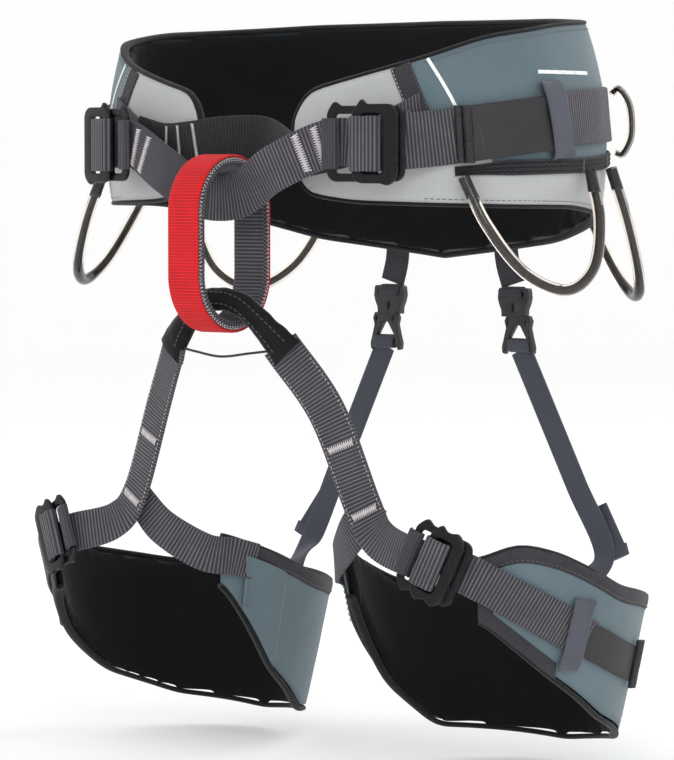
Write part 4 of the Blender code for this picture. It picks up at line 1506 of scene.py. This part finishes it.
def make_belay_loop():
    """Red wear layer over stacked ribbed webbing, sewn through along its edges."""
    frames, pitch = ring_frames(BELAY_HEIGHT - 2.0, BELAY_DEPTH - 2.0, 2.1)
    cover = strap("belay_red_layer", frames, BELAY_WIDTH, 1.9, "red", relief=0.24, pitch=pitch, closed=True)
    fix_normals(cover)
    finish_piece(cover, "belay_loop", "wear_layer", "belay_cover")
    shrink = 5.8
    for index in range(3):
        frames, pitch = ring_frames(BELAY_HEIGHT - shrink, BELAY_DEPTH - shrink, 2.4)
        layer = strap("belay_layer_%d" % (index + 1), frames, BELAY_WIDTH - 0.8 + 0.6 * (index == 1), 1.8,
                      "webbing", relief=0.34, pitch=pitch, closed=True)
        fix_normals(layer)
        finish_piece(layer, "belay_loop", "webbing", "belay_core")
        shrink += 4.0
    for sign, tag in ((1, "left"), (-1, "right")):
        side = Vector((sign, 0.0, 0.0))
        for inset, material_name, stitch, gap, name in ((2.4, "thread_light", 0.9, 1.3, "pale"),
                                                        (3.6, "thread_light", 0.8, 1.8, "inner"),
                                                        (1.2, "cord", 0.9, 1.2, "dark")):
            frames, _ = ring_frames(BELAY_HEIGHT - 2 * inset, BELAY_DEPTH - 2 * inset, 2.0)
            turned = [(centre + side * (BELAY_WIDTH / 2 - 0.25), out, side) for centre, _, out in frames]
            piece = stitches("belay_stitch_%s_%s" % (name, tag), turned + turned[:1], material_name, stitch,
                             gap, 0.42)
            finish_piece(piece, "belay_loop", "webbing")


def make_bridge():
    """Brushed sleeve through the belay loop and the thin cord below it."""
    half = [Vector((47, -123, -128)), Vector((33, -127, -112)), Vector((17, -131, -98)),
            Vector((0, -132, -94.5))]
    route = half + mirrored(half[:-1])
    frames = frames_along(route, [Vector((0.0, -1.0, 0.15))] * 7, 110)

    def radii(t):
        flare = abs(2 * t - 1.0) ** 3
        return 7.2 + 5.0 * flare, 6.6 - 3.0 * flare
    sleeve = soft_tube("sleeve", frames, radii, "sleeve", 28, 0.10, 8.0)
    finish_piece(sleeve, "waist", "sleeve", "bridge_sleeve")
    for shift, tag in ((-0.45, "low"), (0.55, "high")):
        line = []
        for index, (centre, across, out) in enumerate(frames):
            wide, thick = radii(index / 109)
            away = out if out.dot(FRONT) > 0 else -out
            place = centre + across * (wide * shift) + away * (thick * math.sqrt(1 - shift * shift) + 0.2)
            line.append((place, across, away))
        finish_piece(stitches("sleeve_stitch_" + tag, line[6:-6], "thread_dark", 2.4, 1.4, 0.28), "waist",
                     "sleeve")
    drop = [Vector((34, -126, -126)), Vector((22, -129, -127.5)), Vector((0, -131, -130))]
    points = drop + mirrored(drop[:-1])
    fine = [along(points, index / 60) for index in range(61)]
    length = sum((after - before).length for before, after in zip(fine, fine[1:]))
    cord = rope("bridge_cord", fine, 0.8, "cord", 10)
    finish_piece(cord, "waist", "cord", "spacer_cord")


# ---------------------------------------------------------------- gear and accessory loops
def loop_route(side, start, end, drop, lean):
    lift = 1.0 + 1.5 + TUBE_RADIUS + 0.3
    ends = []
    for arc in (start, end):
        ends.append(belt_point(side * arc, profile(STRIP_RISE, arc) - 4.0, lift))
    middle = (ends[0] + ends[1]) / 2
    outwards = Vector((middle.x, middle.y, 0.0)).normalized()
    chord = ends[1] - ends[0]
    shape = [(-0.5, 0.0, 0.0), (-0.44, 0.42, 0.42), (-0.27, 0.83, 0.82), (0.0, 1.0, 1.0),
             (0.27, 0.83, 0.82), (0.44, 0.42, 0.42), (0.5, 0.0, 0.0)]
    route = [middle + chord * a + Vector((0, 0, -drop * d)) + outwards * (lean * o) for a, d, o in shape]
    return [along(route, index / 110) for index in range(111)], outwards


def make_gear_loops():
    for side, word in SIDES:
        for which, start, end, drop, lean in GEAR_LOOPS:
            body = "gear_loop_%s_%s" % (which, word)
            route, outwards = loop_route(side, start, end, drop, lean)
            finish_piece(rope("gear_tube_%s_%s" % (which, word), route, TUBE_RADIUS, "tube", 20), body,
                         "loop_tube", body)
            finish_piece(rope("gear_core_%s_%s" % (which, word), route[1:-1], CORE_RADIUS, "core", 14),
                         body, "loop_tube")
            for tag, near, ahead in (("a", 0, 1), ("b", -1, -2)):
                down = (route[ahead] - route[near]).normalized()
                top = route[near] + down * 0.4
                level = UP.cross(outwards).normalized()
                frames = [(top + down * (step * 0.9), level, outwards) for step in range(16)]

                def flat(t):
                    return 4.4 - 0.4 * t, 2.6 + 1.4 * t
                cap = soft_tube("gear_end_%s_%s_%s" % (which, tag, word), frames, flat, "core", 18)
                finish_piece(cap, body, "loop_tube")
        route = []
        for arc, z, out in ((300, 38, 3), (297, 40, 8), (297, 30, 13), (299, 12, 13), (302, 0, 8),
                            (303, 0, 3)):
            route.append(belt_point(side * arc, z - 4.0, out + 3.5))
        fine = [along(route, index / 60) for index in range(61)]
        finish_piece(rope("accessory_tube_" + word, fine, ACCESSORY_TUBE_RADIUS, "tube", 16), "waist",
                     "loop_tube",
                     "accessory_loop_" + word)
        finish_piece(rope("accessory_core_" + word, fine[1:-1], ACCESSORY_CORE_RADIUS, "core", 10), "waist",
                     "loop_tube")


# ---------------------------------------------------------------- risers
def make_riser(side, word):
    """Webbing from the belt, a two-part clip and the elastic down to the leg loop."""
    top = belt_point(side * (BELT_HALF - 44.0), -52.0, 2.6)
    low = Vector((side * 50.0, top.y + 1.5, RISER_BUCKLE_Z + 2.2))
    mid = Vector((side * 45.5, top.y + 0.8, -74.0))
    high = belt_point(side * (BELT_HALF - 43.0), -40.0, 2.4)
    frames = frames_along([high, top, mid, low], [BACK] * 4, stations(52, 1.5))
    finish_piece(strap("riser_web_" + word, frames, 19.0, 1.4, "webbing_plain", relief=0.18, pitch=1.5),
                 "waist",
                 "webbing", "riser_strap_" + word)
    hang = Vector((side * RISER_HANG.x, RISER_HANG.y, RISER_HANG.z))
    down = hang.normalized()
    centre = Vector((side * 51.5, low.y, RISER_BUCKLE_Z - 9.8))
    matrix = lay_flat(centre, Vector((-1, 0, 0)), -hang)
    shell = [(-12.0, 8.6), (-11.0, 9.6), (11.0, 9.6), (12.0, 8.6), (12.6, 3.0), (11.6, -1.0), (9.8, -5.0),
             (9.5, -9.4), (-9.5, -9.4), (-9.8, -5.0), (-11.6, -1.0), (-12.6, 3.0)]
    holes = [rounded(16.5, 2.8, 1.2, 4, (0.0, 5.6)), rounded(1.7, 5.4, 0.8, 4, (0.0, -3.6))]
    female = flat_plate("clip_socket_" + word, [shell, *holes], 6.0, matrix, "plastic", 1.0)
    finish_piece(female, "waist", "clip_plastic", "riser_clip_female_" + word)
    centre = centre + down * 20.5
    matrix = lay_flat(centre, Vector((-1, 0, 0)), -hang)
    half = [(9.0, 11.6), (10.6, 8.0), (9.4, 3.5), (11.0, -3.0), (12.7, -9.0), (12.3, -13.0), (10.4, -13.8),
            (9.0, -10.4)]
    prongs = half + [(-x, y) for x, y in reversed(half)]
    window = [(-7.0, -3.2), (7.0, -3.2), (1.9, 5.2), (-1.9, 5.2)]
    holes = [window, rounded(15.5, 3.0, 1.3, 4, (0.0, -7.0))]
    holes += [rounded(1.9, 4.0, 0.9, 4, (place, 7.6)) for place in (-7.2, 7.2)]
    male = flat_plate("clip_prong_" + word, [prongs, *holes], 5.0, matrix, "plastic", 0.9)
    finish_piece(male, "waist", "clip_plastic", "riser_clip_male_" + word)
    for spot, tag in ((Vector((side * 51.5, low.y, RISER_BUCKLE_Z - 9.8)) - down * 6.4, "upper"),
                      (centre + down * 8.4, "lower")):
        webbing = "webbing_plain" if tag == "upper" else "elastic"
        for face, ending in ((BACK, ""), (FRONT, "front_")):
            bar_loop("clip_bar_loop_%s_%s%s" % (tag, ending, word), spot + face * 2.6, down,
                     Vector((1, 0, 0)),
                     face, 3.2, 2.0, 16.5, "waist", 1.4, webbing)
    make_riser_elastic(side, word, centre + down * 11.0)


def make_riser_elastic(side, word, start):
    bottom = leg_point(side, 184.0, -302.0, 2.4)
    elbow = Vector((side * 121.0, 113.0, -264.0))
    route = [start, start.lerp(elbow, 0.33), start.lerp(elbow, 0.67), elbow,
             Vector((bottom.x, bottom.y + 5.0, -284.0)), bottom]
    frames = frames_along(route, [BACK] * 6, 150)
    piece = strap("riser_elastic_web_" + word, frames, 16.5, 1.5, "elastic", relief=0.0)
    body = "leg_loop_" + word
    ends = (tuple(start * MM), tuple(Vector((bottom.x, bottom.y + 3.0, -292.0)) * MM))
    blend_piece(piece, body, "elastic", ends, "riser_elastic_" + word)
    spot = 106
    centre, across, out = frames[spot]
    tangent = (frames[spot + 1][0] - frames[spot - 1][0]).normalized()
    flap = []
    for step in range(30):
        t = step / 29
        outboard = across if across.x * side > 0 else -across
        place = centre + tangent * (-26.0 + 30.0 * t) + BACK * 2.0 + outboard * (2.0 + 5.5 * t)
        flap.append((place, across, out if out.dot(BACK) > 0 else -out))
    tab = strap("riser_tab_" + word, flap, 15.5, 1.5, "elastic", relief=0.0)
    blend_piece(tab, body, "elastic", ends)
    edge = flap[-1]
    fold = [(edge[0] + tangent * (step * 0.7) - BACK * 0.2, across, edge[2]) for step in range(12)]
    thick = soft_tube("riser_tab_fold_" + word, fold, lambda t: (9.6, 2.1), "elastic", 14)
    blend_piece(thick, body, "elastic", ends)
    tack = bartack("riser_tab_stitch_" + word, fold[3][0] + BACK * 2.2, tangent, across, BACK, 8.0, 1.6,
                   "thread_dark", turns=7)
    blend_piece(tack, body, "elastic", ends)


# ---------------------------------------------------------------- leg loops
def leg_cloth(name, side, start, end, low, high, material_name, offset=0.3, columns=150, rows=14,
              crown=0.35, seed=0.0,
              thickness=0.8):
    def place(u, v, lift):
        theta = start + (end - start) * u
        z = low(theta) + (high(theta) - low(theta)) * v
        ripple = 0.16 * field.noise(Vector((theta / 11.0, z / 18.0, seed)))
        above = offset(theta) if callable(offset) else offset
        return leg_point(side, theta, z, above + lift + ripple)

    def flat(u, v):
        theta = start + (end - start) * u
        return theta * 1.7 * 0.01, (low(theta) + (high(theta) - low(theta)) * v) * 0.01
    return cloth_panel(name, columns, rows, place, thickness, material_name, crown, flat)


def leg_line(side, start, end, height, offset, count=160, out_of=None):
    def place(t):
        theta = start + (end - start) * t
        lift = out_of(theta) if out_of else offset
        point = leg_point(side, theta, height(theta), lift)
        above = leg_point(side, theta, height(theta) + 1.0, lift)
        return point, (above - point).normalized()
    frames = frames_on(place, count)
    centre = Vector((side * LEG_CENTRE.x, LEG_CENTRE.y, frames[0][0].z))
    sign = 1.0 if frames[0][2].dot(frames[0][0] - centre) > 0 else -1.0
    return [(point, across, out * sign) for point, across, out in frames]


def leg_low(theta):
    return smooth_profile(LEG_BOTTOM, theta, 7.0)


def leg_high(theta):
    return smooth_profile(LEG_TOP, theta, 7.0)


def strap_rise(theta):
    return smooth_profile(LEG_STRAP_RISE, theta, 8.0)


def make_leg_loop(side, word):
    """Cloth, binding, webbing, keeper and trim of one leg loop."""
    body = "leg_loop_" + word
    cloth = leg_cloth("leg_cloth_" + word, side, LEG_START + 1.0, LEG_END - 1.0, lambda t: leg_low(t) + 2.6,
                      lambda t: leg_high(t) - 0.5, "blue_grey", columns=200, rows=16, seed=side + 3.0)
    finish_piece(cloth, body, "side_fabric", "leg_shell_" + word)
    bound = leg_cloth("leg_wide_binding_" + word, side, LEG_START + 0.6, LEG_END - 2.0,
                      lambda t: leg_high(t) - 9.0,
                      lambda t: leg_high(t) + 0.3, "trim", offset=0.95, columns=240, rows=4, crown=0.5,
                      thickness=0.8)
    finish_piece(bound, body, "padding")
    front = leg_cloth("leg_front_binding_" + word, side, LEG_START + 0.6, 62.0, lambda t: leg_low(t) - 0.2,
                      lambda t: min(leg_low(t) + 10.5, leg_high(t) - 9.0), "trim", offset=0.95, columns=40,
                      rows=4,
                      crown=0.4, thickness=0.8)
    finish_piece(front, body, "padding")
    cap = leg_cloth("leg_tip_binding_" + word, side, LEG_START + 0.4, LEG_START + 6.0,
                    lambda t: leg_low(t) - 0.2,
                    lambda t: leg_high(t) + 0.2, "trim", offset=1.0, columns=8, rows=12, crown=0.3,
                    thickness=0.8)
    finish_piece(cap, body, "padding")
    patch = leg_cloth("leg_strap_patch_" + word, side, 298.0, 278.0, lambda t: leg_low(t) + 1.5,
                      lambda t: leg_high(t) - 8.2, "blue_grey",
                      offset=lambda t: 1.0 + 3.0 * eased((t - 278.0) / 18.0),
                      columns=40, rows=10, crown=0.3, seed=side + 8.0)
    finish_piece(patch, body, "side_fabric")
    line = []
    for step in range(61):
        z = leg_low(296.6) + 2.5 + (leg_high(296.6) - leg_low(296.6) - 12.0) * step / 60
        point = leg_point(side, 296.6, z, 4.9)
        out = (leg_point(side, 296.6, z, 5.9) - point).normalized()
        line.append((point, UP.cross(out).normalized(), out))
    finish_piece(stitches("leg_patch_stitch_" + word, line, "thread_dark", 2.0, 1.6, 0.28), body, "webbing")
    for height, tag, start, end in ((leg_high, "top", LEG_START + 1.0, LEG_END - 1.0),
                                    (leg_low, "bottom", LEG_START + 1.0, LEG_END - 1.0)):
        edge = leg_line(side, start, end, height, -1.6, 260)
        finish_piece(soft_tube("leg_piping_%s_%s" % (tag, word), edge, lambda t: (1.7, 2.8), "binding", 12),
                     body,
                     "padding")
    seam = leg_line(side, LEG_START + 5.0, LEG_END - 20.0, lambda t: leg_high(t) - 7.2, 1.75, 420)
    finish_piece(stitches("leg_seam_" + word, seam, "thread_dark", 2.0, 1.2, 0.22), body, "padding")
    make_leg_strap(side, word, body)


def make_leg_strap(side, word, body):
    start = LEG_BUCKLE_THETA + 2.2
    frames = leg_line(side, start, 76.0, strap_rise, 2.4, stations(106))
    finish_piece(strap("leg_strap_" + word, frames, LEG_WEBBING_WIDTH, 2.0, "webbing", relief=0.34), body,
                 "webbing",
                 "leg_adjust_strap_" + word)
    frames = leg_line(side, 74.0, 111.0, strap_rise, 2.6, 90)
    finish_piece(strap("leg_strap_end_" + word, frames, 22.0, 1.9, "coated", relief=0.0), body,
                 "coated_webbing",
                 "leg_adjust_strap_" + word)
    middle = strap_rise(111.0)
    low = leg_point(side, 111.5, middle - 15.0, 5.0)
    high = leg_point(side, 110.5, middle + 15.0, 5.0)
    out = (leg_point(side, 111.0, middle, 6.0) - leg_point(side, 111.0, middle, 5.0)).normalized()
    level = UP.cross(out).normalized()
    roll = [(low.lerp(high, step / 20), level, out) for step in range(21)]
    finish_piece(soft_tube("strap_stop_" + word, roll, lambda t: (3.6, 2.6), "coated", 18, 0.05), body,
                 "coated_webbing", "leg_strap_stop_" + word)
    def place(t):
        theta = 66.0 + 5.0 * t
        turn = (t - 0.5) * 2.0
        z = strap_rise(70.0) + 21.5 * math.sin(turn * math.pi / 2)
        lift = 1.9 + 3.0 * max(0.0, 1.0 - abs(turn) ** 4)
        point = leg_point(side, theta, z, lift)
        beside = leg_point(side, theta + 1.0, z, lift)
        return point, (beside - point).normalized()
    frames = frames_on(place, 60)
    out = (leg_point(side, 70.0, middle, 6.0) - leg_point(side, 70.0, middle, 5.0)).normalized()
    frames = [(centre, across, away if away.dot(out) > -0.3 else -away) for centre, across, away in frames]
    finish_piece(strap("leg_keeper_web_" + word, frames, 15.0, 1.2, "keeper", relief=0.0), body, "elastic",
                 "leg_keeper_" + word)
    for edge in (-5.9, 5.9):
        line = [(centre + across * edge + away * 0.6, across, away) for centre, across, away in frames[4:-4]]
        name = "leg_keeper_edge_" + ("near_" if edge < 0 else "far_") + word
        finish_piece(stitches(name, line, "thread_dark", 0.8, 0.7, 0.18), body, "elastic")


def make_leg_branches(side, word):
    """Webbing from the bridge to the leg buckle, and the inner strap to the padding."""
    body = "leg_loop_" + word
    centre, direction, normal, _ = leg_buckle(side)
    seat = centre - normal * 4.2
    start = Vector((side * 42.0, -124.6, -121.5))
    split = Vector((side * 92, -106, -220))
    route = [start, Vector((side * 68, -111, -163)), split, Vector((side * 107, -109, -239)),
             seat - direction * (side * 18.0), seat - direction * (side * 1.2)]
    outward = Vector((side * 0.25, -1, 0.1))
    facings = [outward, outward, outward, Vector((side * 0.1, -1, 0.2)), Vector((side * 0.2, -1, 0)),
               Vector((side * 0.2, -1, 0))]
    frames = frames_along(route, facings, stations(172))
    if frames[10][2].dot(FRONT) < 0:
        frames = [(point, across, -out) for point, across, out in frames]
    branch = strap("branch_web_" + word, frames, LEG_WEBBING_WIDTH, 2.1, "webbing", relief=0.36)
    ends = (tuple(Vector((side * 44, -124, -124)) * MM), tuple(Vector((side * 66, -112, -158)) * MM))
    blend_piece(branch, body, "webbing", ends, "leg_branch_strap_" + word)
    count = len(frames)
    for share, tag in ((0.40, "upper"), (0.635, "lower")):
        index = int(share * (count - 1))
        point, across, out = frames[index]
        tangent = (frames[index + 1][0] - frames[index - 1][0]).normalized()
        finish_piece(bartack("branch_tack_%s_%s" % (tag, word), point + out * 1.3, tangent, across, out,
                             17.0, 4.6,
                             "thread_light", turns=12, radius=0.40), body, "webbing")
    for shift, tag in ((-10.6, "in"), (10.6, "out")):
        line = [(point + across * shift + out * 1.1, across, out) for point, across, out in
                frames[int(count * 0.10):int(count * 0.66)]]
        seam = stitches("branch_seam_%s_%s" % (tag, word), line, "thread_light", 1.5, 1.6, 0.2)
        blend_piece(seam, body, "webbing", ends)
    pad_end = leg_point(side, LEG_END - 14.0, -266.0, 2.2)
    near = leg_point(side, LEG_END - 6.0, -262.0, 2.4)
    before = leg_point(side, LEG_END + 6.0, -258.0, 4.0)
    route = [split + Vector((side * 5, 3.0, 4)), split + Vector((side * -4, 3.4, -8)),
             Vector((side * 74, -99, -243)),
             before, near, pad_end]
    facings = [Vector((side * 0.2, -1, 0)), Vector((side * 0.1, -1, 0)), Vector((side * -0.2, -1, 0)),
               Vector((side * -0.6, -0.8, 0)), Vector((side * -0.75, -0.65, 0)),
               Vector((side * -0.8, -0.6, 0))]
    frames = frames_along(route, facings, stations(95))
    inner = strap("inner_web_" + word, frames, 24.0, 1.9, "webbing", relief=0.34)
    finish_piece(inner, body, "webbing", "leg_inner_strap_" + word)


# ---------------------------------------------------------------- floor and light
def make_studio():
    """A white bowl for floor and backdrop, a white sky and three soft lights."""
    points = []
    uvs = []
    sides = 96
    rings = [(0.0001, 0.0), (1.5, 0.0), (3.2, 0.0), (FLOOR_RADIUS, 0.0)]
    for step in range(1, 25):
        angle = math.pi / 2 * step / 24
        rings.append((FLOOR_RADIUS + WALL_CURVE * math.sin(angle), WALL_CURVE - WALL_CURVE * math.cos(angle)))
    rings.append((FLOOR_RADIUS + WALL_CURVE, WALL_TOP))
    for radius, rise in rings:
        for step in range(sides):
            angle = 2.0 * math.pi * step / sides
            points.append(Vector((radius * math.cos(angle), radius * math.sin(angle), rise + FLOOR_Z)) / MM)
            uvs.append((radius, angle))
    faces = []
    for ring in range(len(rings) - 1):
        for step in range(sides):
            after = (step + 1) % sides
            faces.append((ring * sides + step, ring * sides + after, (ring + 1) * sides + after,
                          (ring + 1) * sides + step))
    MATERIALS["floor"] = floor_material()
    floor = mesh_piece("floor", points, faces, "floor", uvs)
    world = bpy.data.worlds.new("studio")
    world.use_nodes = True
    world.node_tree.nodes["Background"].inputs["Color"].default_value = (1.0, 1.0, 1.0, 1.0)
    world.node_tree.nodes["Background"].inputs["Strength"].default_value = 0.80
    bpy.context.scene.world = world
    bpy.context.scene.view_settings.view_transform = "Standard"
    for name, place, size, power in (("key", (1.9, -2.0, 1.5), 1.1, 17.0),
                                     ("fill", (-2.2, -1.6, 0.9), 1.6, 7.0),
                                     ("rim", (0.6, 2.2, 1.7), 1.5, 12.0)):
        light = bpy.data.lights.new(name, "AREA")
        light.size = size
        light.energy = power
        lamp = bpy.data.objects.new(name, light)
        lamp.location = place
        lamp.rotation_euler = (Vector(place) - Vector((0.0, 0.0, -0.15))).to_track_quat("Z", "Y").to_euler()
        bpy.context.scene.collection.objects.link(lamp)


def floor_material():
    made, tree, shader = start_material("pale_floor", 0.9, Specular_IOR_Level=0.1)
    shader.inputs["Emission Color"].default_value = (1.0, 1.0, 1.0, 1.0)
    shader.inputs["Emission Strength"].default_value = 0.11
    uneven = use_group(tree, "uneven", Color=(0.985, 0.985, 0.985), Amount=0.004, Scale=2.0)
    tree.links.new(uneven.outputs["Color"], shader.inputs["Base Color"])
    return made


make_bridge()
make_waist_padding()
make_leg_padding()
make_belt_cloth()
make_belt_marks()
make_waist_webbing()
make_buckles()
make_tie_in()
make_backing_strap()
make_belay_loop()
make_gear_loops()
for wearer_side, side_word in SIDES:
    make_riser(wearer_side, side_word)
    make_leg_loop(wearer_side, side_word)
    make_leg_branches(wearer_side, side_word)
make_studio()
